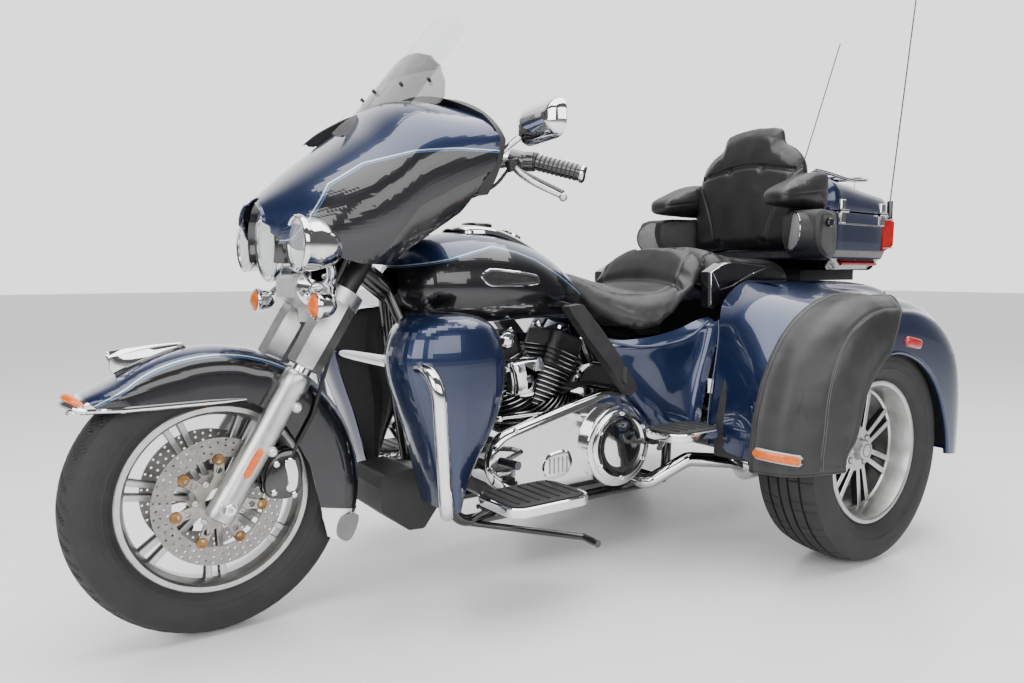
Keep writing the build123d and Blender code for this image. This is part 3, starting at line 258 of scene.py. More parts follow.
class Piece:
    """Collects faces of several materials into one mesh object."""

    def __init__(self, name):
        self.name = name
        self.verts, self.faces, self.slots = [], [], []
        self.mats, self.values = [], {}

    def add(self, verts, faces, mat, value=None):
        if mat not in self.mats:
            self.mats.append(mat)
        base = len(self.verts)
        self.verts += [Vector(v) for v in verts]
        self.faces += [tuple(base + i for i in f) for f in faces]
        self.slots += [self.mats.index(mat)] * len(faces)
        if value:
            for i, v in enumerate(value):
                self.values[base + i] = v
        return self

    def grid(self, rows, mat, close_u=False, close_v=False, value=None, flip=False):
        """Quads over rows of points; close_u joins the last row to the first, close_v each row's ends."""
        nu, nv = len(rows), len(rows[0])
        faces = []
        for i in range(nu if close_u else nu - 1):
            for j in range(nv if close_v else nv - 1):
                a, b = i * nv + j, i * nv + (j + 1) % nv
                c, d = ((i + 1) % nu) * nv + (j + 1) % nv, ((i + 1) % nu) * nv + j
                faces.append((a, d, c, b) if flip else (a, b, c, d))
        return self.add([p for r in rows for p in r], faces, mat, value)

    def surface(self, rows, mat, u=4, v=4, flip=False, value=None, mirrored=False):
        """A smooth surface through rows of (station, y, z) control points."""
        rows = [curve(r, v) for r in rows]
        columns = [curve(c, u) for c in zip(*rows)]
        fine = [list(r) for r in zip(*columns)]
        for side in ((1, -1) if mirrored else (1,)):
            placed = [[at(q.x, q.y * side, q.z) for q in r] for r in fine]
            numbers = [value(q) for r in fine for q in r] if value else None
            self.grid(placed, mat, flip=flip == (side == 1), value=numbers)
        return self

    def lathe(self, centre, axis, profile, mat, n=48):
        """Revolves (distance along, radius) rows, in millimetres, about an axis through a metre point."""
        axis = Vector(axis).normalized()
        side = axis.orthogonal().normalized()
        other = axis.cross(side)
        rows = [ring_of(Vector(centre) + axis * (along / 1000), side, other, radius, n)
                for along, radius in profile]
        return self.grid(rows, mat, close_v=True)

    def pipe(self, points, radius, mat, n=14, steps=6, closed=False):
        """A round tube through metre points; radius in millimetres may be a list, one a point."""
        path = curve(points, steps, closed)
        count = len(path)
        radii = radius if isinstance(radius, (list, tuple)) else [radius] * len(points)
        rows, normal = [], None
        for i, p in enumerate(path):
            ahead = path[(i + 1) % count] if closed or i + 1 < count else p
            behind = path[i - 1] if closed or i else p
            tangent = (ahead - behind).normalized()
            if normal is None:
                normal = tangent.orthogonal().normalized()
            normal = (normal - tangent * normal.dot(tangent)).normalized()
            other = tangent.cross(normal)
            place = i / steps if steps > 1 else i
            low = min(int(place), len(radii) - 1)
            high = min(low + 1, len(radii) - 1)
            rows.append(ring_of(p, normal, other,
                                lerp(radii[low], radii[high], place - low if low != high else 0), n))
        if not closed:
            rows = [[path[0] + (q - path[0]) * 0.02 for q in rows[0]]] + rows + [
                [path[-1] + (q - path[-1]) * 0.02 for q in rows[-1]]]
        return self.grid(rows, mat, close_u=closed, close_v=True)

    def levels(self, outline, levels, mat, place, cap=True):
        """Stacks insets of a closed outline: levels are (inset, height), which place turns to metres."""
        count = len(outline)
        pairs = zip(outline, [*outline[1:], outline[0]])
        turn = 1 if sum(a[0] * b[1] - b[0] * a[1] for a, b in pairs) > 0 else -1
        normals = []
        for i in range(count):
            a, b, c = outline[i - 1], outline[i], outline[(i + 1) % count]
            e0 = Vector((b[0] - a[0], b[1] - a[1])).normalized()
            e1 = Vector((c[0] - b[0], c[1] - b[1])).normalized()
            n0, n1 = Vector((e0.y, -e0.x)) * turn, Vector((e1.y, -e1.x)) * turn
            mid = n0 + n1
            mid = mid.normalized() if mid.length > 1e-6 else n0
            normals.append(mid / max(0.5, mid.dot(n0)))
        rows = [[place(o[0] - m.x * inset, o[1] - m.y * inset, height) for o, m in zip(outline, normals)]
                for inset, height in levels]
        self.grid(rows, mat, close_v=True)
        if cap:
            self.add(rows[-1], [tuple(range(count))], mat)
            self.add(rows[0], [tuple(reversed(range(count)))], mat)
        return self

    def done(self, body, slot=None, replaces=(), thick=0, angle=40):
        """Makes the object, welded and shaded smooth, thickened by some millimetres where asked."""
        mesh = bpy.data.meshes.new(self.name)
        mesh.from_pydata(self.verts, [], self.faces)
        for mat in self.mats:
            mesh.materials.append(mat)
        mesh.polygons.foreach_set("material_index", self.slots)
        if self.values:
            layer = mesh.attributes.new("band", "FLOAT", "POINT")
            layer.data.foreach_set("value", [self.values.get(i, 1000.0) for i in range(len(self.verts))])
        mesh.validate()
        weld(mesh, 0.00002)
        obj = add_object(self.name, mesh)
        if thick:
            mod = obj.modifiers.new("thick", "SOLIDIFY")
            mod.thickness, mod.offset = abs(thick) / 1000, 1 if thick > 0 else -1
        make_active(obj)
        bpy.ops.object.shade_auto_smooth(angle=radians(angle))
        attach(obj, body)
        if replaces:
            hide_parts(*replaces)
        return obj


def circle(a, b, radius, n=48):
    return [(a + radius * cos(TURN * k / n), b + radius * sin(TURN * k / n)) for k in range(n)]


def rounded(a0, a1, b0, b1, radius, n=6):
    """A rounded rectangle outline."""
    right, left, top, bottom = a1 - radius, a0 + radius, b1 - radius, b0 + radius
    out = []
    for ca, cb, first in ((right, top, 0), (left, top, 90), (left, bottom, 180), (right, bottom, 270)):
        for k in range(n + 1):
            turn = radians(first + 90 * k / n)
            out.append((ca + radius * cos(turn), cb + radius * sin(turn)))
    return out


def loop(points, steps=6):
    """A smooth closed outline through two-number points."""
    return [(p.x, p.y) for p in curve([(a, b, 0) for a, b in points], steps, closed=True)]


def side_on(y):
    """Places outlines of station and height, with the third number outward from this side offset."""
    return lambda a, b, h: at(a, y + h * (1 if y >= 0 else -1), b)


def outward(side):
    """Places outlines of station and height, with the third number the distance out from the middle."""
    return lambda a, b, h: at(a, side * h, b)


def on_side(side, points):
    """Metre points on one side, from (station, distance out, height) ones."""
    return [at(s, side * y, z) for s, y, z in points]


BAND_REACH = 20


def banded(name, upper, lower, lines, rough=0.3, metal=0.5):
    """Paint that changes colour, with pinstripes, where the mesh's band value in millimetres crosses zero."""
    mat = material(name, upper, rough, metal, coat=1, coat_rough=0.03)
    tree = mat.node_tree
    link = tree.links.new
    shader = tree.nodes["Principled BSDF"]
    band = tree.nodes.new("ShaderNodeAttribute")
    band.attribute_name = "band"
    share = tree.nodes.new("ShaderNodeMapRange")
    share.inputs["From Min"].default_value = -BAND_REACH
    share.inputs["From Max"].default_value = BAND_REACH
    link(band.outputs["Fac"], share.inputs["Value"])
    colours = tree.nodes.new("ShaderNodeValToRGB")
    stops = colours.color_ramp.elements
    colours.color_ramp.interpolation = "CONSTANT"
    stops[0].color = (*lower, 1)
    stops[1].position = 0.5 + lines[-1][0] / (2 * BAND_REACH)
    stops[1].color = (*upper, 1)
    for low, high, colour in lines:
        stops.new(0.5 + low / (2 * BAND_REACH)).color = (*colour, 1)
        stops.new(0.5 + high / (2 * BAND_REACH)).color = (*(upper if low >= 0 else lower), 1)
    link(share.outputs["Result"], colours.inputs["Fac"])
    flakes = tree.nodes.new("ShaderNodeTexVoronoi")
    flakes.inputs["Scale"].default_value = 1500
    where = tree.nodes.new("ShaderNodeTexCoord")
    link(where.outputs["Object"], flakes.inputs["Vector"])
    sparkle = tree.nodes.new("ShaderNodeMix")
    sparkle.data_type = "RGBA"
    sparkle.blend_type = "SOFT_LIGHT"
    sparkle.inputs["Factor"].default_value = 0.35
    link(colours.outputs["Color"], sparkle.inputs[6])
    link(flakes.outputs["Color"], sparkle.inputs[7])
    link(sparkle.outputs[2], shader.inputs["Base Color"])
    return mat


WHITE_LINE, BLUE_LINE = (0.42, 0.46, 0.46), (0.035, 0.10, 0.26)
BLACK = (0.006, 0.006, 0.008)
two_tone = banded("blue_over_black", BLUE, BLACK, [(-4.5, -2, BLUE_LINE), (0, 2.6, WHITE_LINE)])

# Fairing: rows are station, half width and the heights of bottom, middle and top
FAIRING_ROWS = [
    (112, 90, 905, 950, 1000), (160, 172, 850, 930, 1042), (212, 232, 790, 930, 1087),
    (331, 287, 762, 1000, 1180),
    (430, 313, 810, 1080, 1256), (600, 328, 910, 1130, 1256),
]
SHELL_EDGE = [(180, 884), (299, 855), (330, 876), (354, 919), (400, 986), (504, 1040), (596, 1081)]
SKIRT_EDGE = [(180, 884), (290, 856), (358, 852), (409, 893), (477, 942), (526, 978), (560, 1040)]
SHELL_BACK = [(978, 540), (1040, 566), (1090, 589), (1147, 597), (1208, 580), (1252, 532), (1270, 500)]
FAIRING_STRIPE = [(150, 905), (183, 963), (224, 1030), (295, 1078), (386, 1104), (484, 1115), (600, 1117)]
LAMP_HEIGHT, LAMP_OPENING = 904, 99
FAIRING_FRONT, FAIRING_REAR = 106, 600
SHELL_TURNS, SHELL_STEPS = 44, 64
widths_and_lows = curve([r[:3] for r in FAIRING_ROWS], 10)
middles_and_tops = curve([(r[0], r[3], r[4]) for r in FAIRING_ROWS], 10)
FAIRING_SMOOTH = [(*p, q.y, q.z) for p, q in zip(widths_and_lows, middles_and_tops)]


def fairing_point(station, turn, grow=0.0):
    """A point of the fairing's skin: turn runs from 90 degrees at the top to -90 at the bottom."""
    width, low, middle, high = (ramp([(r[0], r[k]) for r in FAIRING_SMOOTH], station) for k in (1, 2, 3, 4))
    c, n = cos(radians(turn)), sin(radians(turn))
    bulge = lerp(1.0, 0.86, smooth(250, 560, station)) if turn > 0 else 1.0
    return Vector((station, (width + grow) * abs(c) ** bulge,
                   middle + (high - middle + grow if n > 0 else middle - low + grow) * n))


def fairing_column(station, edge, grow, first_turn):
    """Points of one section from the top down to the edge line."""
    limit = ramp(edge, station)
    low_turn = first_turn
    while low_turn > -88 and fairing_point(station, low_turn, grow).z > limit:
        low_turn -= 0.5
    return [fairing_point(station, lerp(first_turn, low_turn, k / SHELL_TURNS), grow)
            for k in range(SHELL_TURNS + 1)]


def shell(piece, edge, grow, back, mat, value=None, top_turn=90):
    """The fairing's skin as a grid of sections whose ends follow the lamp opening and the back's profile."""
    raw = [fairing_column(lerp(FAIRING_FRONT, FAIRING_REAR, i / SHELL_STEPS), edge, grow, top_turn)
           for i in range(SHELL_STEPS + 1)]
    rows = []
    for column in zip(*raw):
        start, end = 0, len(column) - 1
        while start < end - 1 and hypot(column[start].y, column[start].z - LAMP_HEIGHT) < LAMP_OPENING:
            start += 1
        while end > start + 2 and column[end].x > ramp(back, column[end].z):
            end -= 1
        span = column[start:end + 1]
        fine = []
        for i in range(SHELL_STEPS + 1):
            place = i / SHELL_STEPS * (len(span) - 1)
            low = min(int(place), len(span) - 2)
            fine.append(span[low].lerp(span[low + 1], place - low))
        rows.append(fine)
    for side in (1, -1):
        placed = [[at(q.x, q.y * side, q.z) for q in r] for r in rows]
        piece.grid(placed, mat, flip=side == 1, value=[value(q) for r in rows for q in r] if value else None)


def line_band(line):
    """Height above a side-view line, reduced by the line's slope."""
    def measure(q):
        limit = ramp(line, q.x)
        slope = (ramp(line, q.x + 5) - ramp(line, q.x - 5)) / 10
        return (q.z - limit) / sqrt(1 + slope * slope)
    return measure


fairing = Piece("fairing_shell")
shell(fairing, SHELL_EDGE, 0, SHELL_BACK, two_tone, line_band(FAIRING_STRIPE))
fairing.done("fork", "blue_paint", ["fairing"], thick=-4)
skirt = Piece("fairing_skirt")
shell(skirt, SKIRT_EDGE, -7, [(z, s - 6) for z, s in SHELL_BACK], black_gloss, top_turn=20)
skirt.done("fork", "black_steel", thick=-3)

# Fuel tank: rows are station, half width and the heights of bottom, middle and top
TANK_ROWS = [
    (478, 92, 738, 800, 878), (530, 156, 702, 800, 922), (650, 168, 693, 800, 944), (780, 166, 695, 790, 936),
    (930, 142, 700, 765, 888), (1070, 85, 692, 725, 788),
]
TANK_TOP_LINE = [(470, 850), (560, 866), (629, 884), (704, 902), (780, 888), (843, 868), (940, 818),
                 (1030, 772), (1070, 750)]
TANK_LOW_LINE = [(470, 600), (640, 690), (760, 704), (960, 712), (1070, 712)]


def tank_band(q):
    return max(line_band(TANK_TOP_LINE)(q), -line_band(TANK_LOW_LINE)(q))


tank = Piece("tank_shell")
rows = []
for station, width, low, middle, high in TANK_ROWS:
    row = []
    for k in range(25):
        turn = radians(90 - 180 * k / 24)
        c, n = cos(turn), sin(turn)
        row.append((station, width * abs(c) ** 0.85, middle + (high - middle if n > 0 else middle - low) * n))
    rows.append(row)
nose = [(rows[0][0][0] - 14, p[1] * 0.55, lerp(p[2], 806, 0.45)) for p in rows[0]]
tail_row = [(1084, p[1] * 0.5, lerp(p[2], 735, 0.5)) for p in rows[-1]]
tank.surface([nose, *rows, tail_row], two_tone, u=10, v=3, value=tank_band, mirrored=True)
tank.done("chassis", "blue_paint", ["fuel_tank"])

badge = Piece("tank_badges")
for side in (1, -1):
    outline = loop([(642, 826), (660, 840), (690, 844), (815, 830), (836, 812), (820, 799), (700, 797),
                    (668, 800), (650, 812)], 5)

    def badge_place(a, b, h, side=side):
        """On the tank's flank, which curves in towards both ends and the top."""
        return at(a, side * (ramp([(640, 168), (780, 166), (860, 157)], a) - abs(b - 800) * 0.055 + h), b)

    for inset, out, mat in ((0, 0, chrome), (5, 1.5, black_satin)):
        badge.levels(outline, [(inset, out - 6), (inset, out + 1.5), (inset + 2, out + 3)], mat, badge_place)
badge.done("chassis", "chrome")

# Leg shields: rows are height, front and rear stations, and how far the section swells
SHIELD_LEVELS = [
    (738, 496, 512, 0.12), (733, 440, 556, 0.55), (716, 402, 590, 0.8), (690, 377, 608, 0.93),
    (640, 360, 622, 1),
    (590, 364, 627, 1), (520, 386, 620, 0.98), (450, 412, 594, 0.93), (380, 434, 556, 0.86),
    (320, 450, 530, 0.8),
    (262, 470, 512, 0.76),
]
SHIELD_INNER, SHIELD_OUTER, SHIELD_SWELL = 150, 206, 122
shield = Piece("leg_shield_skins")
liner = Piece("leg_shield_liners")
rows = []
for height, front, rear, swell in SHIELD_LEVELS:
    inner = SHIELD_INNER
    outer = SHIELD_OUTER + SHIELD_SWELL * swell
    middle = lerp(front, rear, 0.42)
    rows.append([
        (lerp(front, middle, 0.12), inner, height), (front, lerp(inner, outer, 0.3), height),
        (lerp(front, middle, 0.1), lerp(inner, outer, 0.7), height),
        (lerp(front, middle, 0.5), lerp(inner, outer, 0.93), height),
        (middle, outer, height), (lerp(middle, rear, 0.45), outer - 3, height),
        (lerp(middle, rear, 0.8), outer - 14, height),
        (rear, outer - 36, height), (rear + 1, lerp(inner, outer, 0.45), height),
    ])
shield.surface(rows, blue, u=5, v=5, mirrored=True)
shield.done("chassis", "blue_paint", ["leg_shields"], thick=-4)
edge_rows = [[(r[-2][0] + 1.5, r[-2][1] + 1.5, r[-2][2]), (r[-2][0] + 7, r[-2][1] - 8, r[-2][2]),
              (r[-1][0] + 8, r[-1][1], r[-1][2]), (r[-1][0] - 12, r[-1][1] - 30, r[-1][2])] for r in rows]
liner.surface(edge_rows, black_plastic, u=5, v=3, mirrored=True)
liner.surface([[(r[0][0] + 6, r[0][1] + 4, r[0][2]), (lerp(r[0][0], r[-1][0], 0.5), r[0][1] - 6, r[0][2]),
                (r[-1][0] - 4, r[-1][1] - 10, r[-1][2])] for r in rows[1:]], black_plastic, u=3, v=3,
              mirrored=True)
liner.done("chassis", "black_plastic", thick=-2)

# Front fender
HEM_LINE = [(-330, 556), (-285, 548), (60, 548), (140, 500), (205, 380), (262, 120)]
AXLE_Z = 318
FENDER_DROPS = [(0, 0), (0.32, 2), (0.58, 8), (0.78, 19), (0.92, 34), (0.985, 52), (1.0, 78), (1.0, 110)]


def on_arc(angle, radius, y, lift=0):
    """A (station, y, z) point round the front axle, at an angle up from straight ahead."""
    return (-radius * cos(radians(angle)), y, AXLE_Z + radius * sin(radians(angle)) + lift)


def front_crown(angle):
    return 352 + 24 * (1 - smooth(37, 58, angle))


def front_half_width(angle):
    return 90 - 34 * (1 - smooth(38, 52, angle))


def hem_radius(angle):
    """Distance from the axle to the fender's hem line at an angle up from straight ahead."""
    d = Vector((-cos(radians(angle)), sin(radians(angle))))
    hits = []
    for (s0, z0), (s1, z1) in zip(HEM_LINE, HEM_LINE[1:]):
        e = Vector((s1 - s0, z1 - z0))
        o = Vector((s0, z0 - AXLE_Z))
        det = d.y * e.x - d.x * e.y
        if abs(det) < 1e-9:
            continue
        r = (o.y * e.x - o.x * e.y) / det
        t = (d.x * o.y - d.y * o.x) / det
        if r > 0 and -0.001 <= t <= 1.001:
            hits.append(r)
    return max(hits, default=300)


def front_section(angle, grow=0.0):
    """Half of one rib, as (y, radius) rows from the crown down to the hem."""
    crown = front_crown(angle) + grow
    hem = min(hem_radius(angle), crown - 3)
    half = front_half_width(angle) + grow
    room = crown - hem
    out = []
    for share, drop in FENDER_DROPS:
        scaled = drop if room > 118 else drop * room / 110
        out.append((half * share, crown - min(scaled, room)))
    return [*out, (half, hem)]


def fender_ribs(angles, grow=0.0):
    return [[on_arc(angle, r, y) for y, r in front_section(angle, grow)] for angle in angles]


def fender_band(q):
    """How far a point lies outside the line between the two colours; the top is all of the upper colour."""
    angle = atan2(q.z - AXLE_Z, -q.x) * 180 / pi
    line = front_crown(angle) - lerp(26, 19, smooth(40, 70, angle))
    return 60 if q.y < 40 else hypot(q.x, q.z - AXLE_Z) - line


fender = Piece("front_fender_skin")
fender.surface(fender_ribs([lerp(40.2, 206, k / 42) for k in range(43)]), two_tone, u=3, v=5,
               value=fender_band, mirrored=True)
fender.done("fork", "blue_paint", ["front_fender"], thick=-2.5)
trim = Piece("front_fender_trim")
for side in (1, -1):
    path = []
    for k in range(20):
        angle = lerp(40.5, 104.5, k / 19)
        hem = min(hem_radius(angle), front_crown(angle) - 4)
        path.append(at(*on_arc(angle, hem, side * (front_half_width(angle) + 2), 2)))
    trim.pipe(path, [6.5] * 14 + [6, 5.5, 5, 4, 3, 2], chrome, n=10, steps=3)
tip_rows = [[on_arc(angle, r, y, -3 if angle < 39 else 0) for y, r in front_section(max(angle, 38.5), 2.5)]
            for angle in (38.2, 39.4, 41, 44.5)]
trim.surface(tip_rows, chrome, u=4, v=4, mirrored=True)
trim.pipe(on_side(1, [(-258, -70, 551), (-276, -54, 555), (-287, -26, 560), (-290, 0, 562), (-287, 26, 560),
                      (-276, 54, 555), (-258, 70, 551)]), [6, 9, 12, 13, 12, 9, 6], chrome, n=16)
trim.done("fork", "chrome", thick=-2)
lens = Piece("front_fender_lens")
lens.pipe(on_side(1, [(-262, 66, 562), (-278, 46, 570), (-287, 20, 574), (-289, 0, 575), (-287, -20, 574),
                      (-278, -46, 570), (-262, -66, 562)]), [3, 8, 10, 10, 10, 8, 3], amber, n=12)
lens.done("fork", "red_lens")
guard = Piece("front_fender_tail")
guard.surface(fender_ribs((192, 196, 201, 206.6), 1.6), chrome, u=4, v=4, mirrored=True)
panel_corners = ((194.5, 337), (205, 335), (205, 296), (196, 291))
panel = loop([on_arc(angle, radius, 0)[::2] for angle, radius in panel_corners], 4)
for side in (1, -1):
    guard.levels(panel, [(0, 0), (0, 1.2), (1.5, 2)], grey_panel, side_on(side * 91.4))
guard.done("fork", "chrome", thick=-1.5)


# Wheels
def wheel_centre(name):
    return Vector(JOINTS[name]["pos_m"])


def tread_front(share, turn):
    """Depth of the front tyre's grooves at a share of its half width and a turn in radians."""
    step = TURN / 30
    lag = abs(share) * 0.16
    phase = ((turn + lag + (step / 2 if share < 0 else 0)) % step) / step
    slot = 1 if 0.12 < abs(share) < 0.8 and phase < 0.17 else 0
    fine = 1 if 0.45 < abs(share) < 0.9 and 0.55 < phase < 0.66 else 0
    return 4.5 * slot + 3 * fine


def tread_rear(share, turn):
    """Depth of the rear tyres' grooves: two rings on each side, with short cuts between them."""
    step = TURN / 66
    phase = (turn % step) / step
    ring = any(abs(abs(share) - g) < 0.035 for g in (0.17, 0.55))
    sipe = phase < 0.14 and (0.6 < abs(share) < 0.98 or 0.22 < abs(share) < 0.5)
    return 7 if ring else 3 if sipe else 0


def spread(a, b, n):
    return [lerp(a, b, k / n) for k in range(n + 1)]


front_shares = spread(-1, 1, 40)
ring_edges = [s for g in (0.17, 0.55) for d in (-0.04, -0.034, 0.034, 0.04) for s in (g + d, -g - d)]
rear_shares = sorted({-1, 1, *(round(s, 4) for s in ring_edges),
                      *(round(x, 3) for x in spread(-0.98, 0.98, 16))})


def make_tyre(name, joint, body, node, radius, crown, side_rows, tread, segments, shares):
    centre = wheel_centre(joint)
    ring = [(-y, r, None) for y, r in reversed(side_rows)]
    ring += [(s * crown[0], radius - (radius - crown[1]) * abs(s) ** 2.4, s) for s in shares]
    ring += [(y, r, None) for y, r in side_rows]
    grid = []
    for k in range(segments):
        turn = TURN * k / segments
        row = []
        for y, r, share in ring:
            reach = (r - (tread(share, turn) if share is not None else 0)) / 1000
            row.append(centre + Vector((-reach * sin(turn), y / 1000, reach * cos(turn))))
        grid.append(row)
    piece = Piece(name)
    piece.grid(grid, tyre_black, close_u=True)
    piece.done(body, "tyre", [node], angle=30)


front_side = [(59, 292), (63, 281), (65, 268), (64.5, 254), (62, 243), (61.4, 241), (61.8, 239), (57, 229),
              (50, 221), (44, 216), (40, 208)]
make_tyre("front_tyre_dressed", "front_wheel_spin", "front_wheel", "front_tyre", 318, (56, 298), front_side,
          tread_front, 360, front_shares)
rear_side = [(93, 302), (98, 292), (101.5, 278), (102.3, 262), (101, 248), (98.6, 246), (99, 243), (95, 232),
             (86, 220), (76, 212), (72, 204)]
for word in ("left", "right"):
    make_tyre(f"rear_tyre_{word}_dressed", f"rear_{word}_wheel_spin", f"rear_wheel_{word}",
              f"rear_tyre_{word}", 320, (90, 308), rear_side, tread_rear, 396, rear_shares)


def spokes(piece, centre, count, inner, outer, lean, widths, y_inner, y_outer, depth, face_mat, side_mat,
           start):
    """Pairs of tapered spokes that run from the hub's offset out to the barrel's."""
    for k in range(count):
        turn = start + TURN * k / count
        radial = Vector((-sin(turn), 0, cos(turn)))
        across = Vector((cos(turn), 0, sin(turn)))
        for side in (1, -1):
            rows = []
            for j in range(7):
                share = j / 6
                r = lerp(inner, outer, share)
                mid = side * (lerp(lean[0], lean[1], share))
                half = lerp(widths[0], widths[1], share)
                y = lerp(y_inner, y_outer, share ** 1.3)
                d = lerp(depth[0], depth[1], share)
                sign = 1 if y_outer >= 0 else -1
                ring = []
                for a, b in ((-half, -d), (-half, -1.2), (-half + 1.2, 0), (half - 1.2, 0), (half, -1.2),
                             (half, -d)):
                    ring.append(centre + (radial * r + across * (mid + a)
                                          + Vector((0, y + b * depth[2], 0))) / 1000)
                rows.append(ring)
            piece.grid([r[1:5] for r in rows], face_mat)
            piece.grid([[r[4], r[5], r[0], r[1]] for r in rows], side_mat)


# Front wheel
front_centre = wheel_centre("front_wheel_spin")
rim = Piece("front_rim_dressed")
lip = [(-46, 203), (-46.5, 214), (-44.5, 217.5), (-41, 216), (-40, 208), (-33, 204), (-20, 200), (20, 200),
       (33, 204), (40, 208), (41, 216), (44.5, 217.5), (46.5, 214), (46, 203), (38, 198), (26, 194),
       (14, 191), (-14, 191), (-26, 194), (-38, 198), (-46, 203)]
rim.lathe(front_centre, (0, 1, 0), lip, alloy, n=96)
rim.lathe(front_centre, (0, 1, 0), [(-62, 30), (-62, 36), (-40, 37), (-22, 46), (-13, 56), (13, 56), (22, 46),
                                    (40, 37), (62, 36), (62, 30)], alloy_dull, n=48)
for face in (1, -1):
    spokes(rim, front_centre, 7, 48, 194, (9, 17), (6.5, 6.5), face * 15, face * 16, (12, 12, face), alloy,
           black_satin, pi / 7)
rim.done("front_wheel", "aluminium", ["front_rim"])


def perforated(centre, offset, thick, outlines):
    """Points and faces of a flat plate across an axle, cut by closed (x, z) outlines in millimetres."""
    data = bpy.data.curves.new("plate", "CURVE")
    data.dimensions = "2D"
    data.fill_mode = "BOTH"
    data.extrude = thick / 2000
    for outline in outlines:
        line = data.splines.new("POLY")
        line.points.add(len(outline) - 1)
        for point, (a, b) in zip(line.points, outline):
            point.co = (a / 1000, b / 1000, 0, 1)
        line.use_cyclic_u = True
    holder = add_object("plate_outline", data)
    bpy.context.view_layer.update()
    mesh = bpy.data.meshes.new_from_object(holder.evaluated_get(bpy.context.evaluated_depsgraph_get()))
    bpy.data.objects.remove(holder)
    mesh.transform(Matrix.Translation(centre + Vector((0, offset / 1000, 0)))
                   @ Matrix.Rotation(pi / 2, 4, "X"))
    return [v.co.copy() for v in mesh.vertices], [tuple(f.vertices) for f in mesh.polygons]


def beside_axle(radius, turn, y):
    """A metre point beside the front wheel's centre."""
    return front_centre + Vector((radius * cos(turn), y, radius * sin(turn))) / 1000


ARMS = 7
arm_turns = [TURN * k / ARMS + pi / 2 for k in range(ARMS)]
discs = Piece("front_discs_dressed")
for side in (1, -1):
    holes = [circle(radius * cos(TURN * k / 48), radius * sin(TURN * k / 48), 2.9, 14)
             for k in range(48) for radius in ((112, 128, 141) if k % 2 else (119, 135))]
    plate = perforated(front_centre, side * 66, 5, [circle(0, 0, 146, 120), circle(0, 0, 103, 96), *holes])
    discs.add(*plate, disc_steel)
    star = [(r * cos(turn + lead), r * sin(turn + lead)) for turn in arm_turns
            for lead, r in ((-0.42, 50), (-0.2, 62), (-0.11, 92), (0, 96), (0.11, 92), (0.2, 62))]
    holes = [circle(72 * cos(turn), 72 * sin(turn), 7.5, 14) for turn in arm_turns]
    discs.add(*perforated(front_centre, side * 69, 7, [star, circle(0, 0, 34, 32), *holes]), alloy_dull)
    for turn in arm_turns:
        discs.lathe(beside_axle(97, turn, side * 72), (0, side, 0),
                    [(-10, 13), (0, 13), (2, 12), (2, 8), (0, 7), (0, 0.1)], rust, n=20)
        discs.lathe(beside_axle(54, turn + 0.3, side * 72), (0, side, 0),
                    [(-4, 7), (4, 7), (5.5, 5.5), (5.5, 3), (3, 0.1)], alloy, n=12)
discs.done("front_wheel", "disc_steel", ["front_discs"])

# Rear wheels
for word, side in (("left", 1), ("right", -1)):
    centre = wheel_centre(f"rear_{word}_wheel_spin")
    rim = Piece(f"rear_rim_{word}_dressed")
    outline = [(-78, 190), (-80, 204), (-78, 208), (-74, 207), (-72, 198), (-50, 188), (40, 188), (66, 198),
               (72, 207), (77, 208.5), (80, 206), (80.5, 198), (78, 193), (60, 186), (40, 182), (24, 178),
               (20, 172), (-50, 170), (-78, 190)]
    rim.lathe(centre, (0, side, 0), outline, alloy, n=96)
    rim.lathe(centre, (0, side, 0), [(2, 66), (24, 66), (28, 62), (28, 34), (34, 30), (50, 29), (54, 26),
                                     (55, 0.1)], alloy, n=48)
    spokes(rim, centre, 7, 58, 178, (13, 21), (7.5, 8), side * 28, side * 24, (22, 18, side), alloy,
           black_satin, 0.2)
    for k in range(4):
        turn = pi / 4 + pi / 2 * k + 0.15
        spot = centre + Vector((49 * cos(turn), side * 27, 49 * sin(turn))) / 1000
        rim.lathe(spot, (0, side, 0), [(-2, 11.5), (1.5, 11), (1.6, 8.5), (-3, 8.5)], black_satin, n=20)
        rim.lathe(spot, (0, side, 0), [(-6, 7), (3, 7), (4.5, 5.5), (4.5, 0.1)], alloy, n=6)
    rim.lathe(centre, (0, side, 0), [(55.2, 20), (55.8, 19), (55.2, 18)], black_satin, n=32)
    rim.lathe(centre, (0, side, 0), [(-60, 150), (-52, 150), (-50, 60), (-50, 0.1)], black_satin, n=48)
    rim.lathe(centre, (0, side, 0), [(-44, 148), (-38, 148), (-38, 92), (-44, 92)], disc_steel, n=64)
    rim.done(f"rear_wheel_{word}", "aluminium", [f"rear_rim_{word}"])


# Rear body, in the left half's millimetres and mirrored
WHEELBASE, REAR_AXLE_Z = 1670.0, 320
FENDER_RISE = [(-3, 395), (18.8, 404), (39.5, 424), (58, 441), (75.7, 444), (86, 446), (98, 447),
               (112.5, 470), (128.6, 497), (143.6, 508), (158.7, 496), (173, 484), (187, 481)]
ARCH = [(-6, 226), (5, 226), (20, 196), (34, 200), (51, 228), (70, 262), (84, 288), (112, 292), (139, 301),
        (163, 310), (181, 325), (187, 332)]
SHOULDER = [(560, 0), (610, 2), (644, 8), (668, 18), (684, 10), (698, 0)]


def ramp_smooth(table, x):
    """Smooth value of a table at x, through Catmull-Rom."""
    if x <= table[0][0]:
        return table[0][1]
    for k in range(len(table) - 1):
        if x < table[k + 1][0]:
            b, c = table[k][1], table[k + 1][1]
            a = table[k - 1][1] if k else 2 * b - c
            d = table[k + 2][1] if k + 2 < len(table) else 2 * c - b
            return catmull(a, b, c, d, (x - table[k][0]) / (table[k + 1][0] - table[k][0]))
    return table[-1][1]


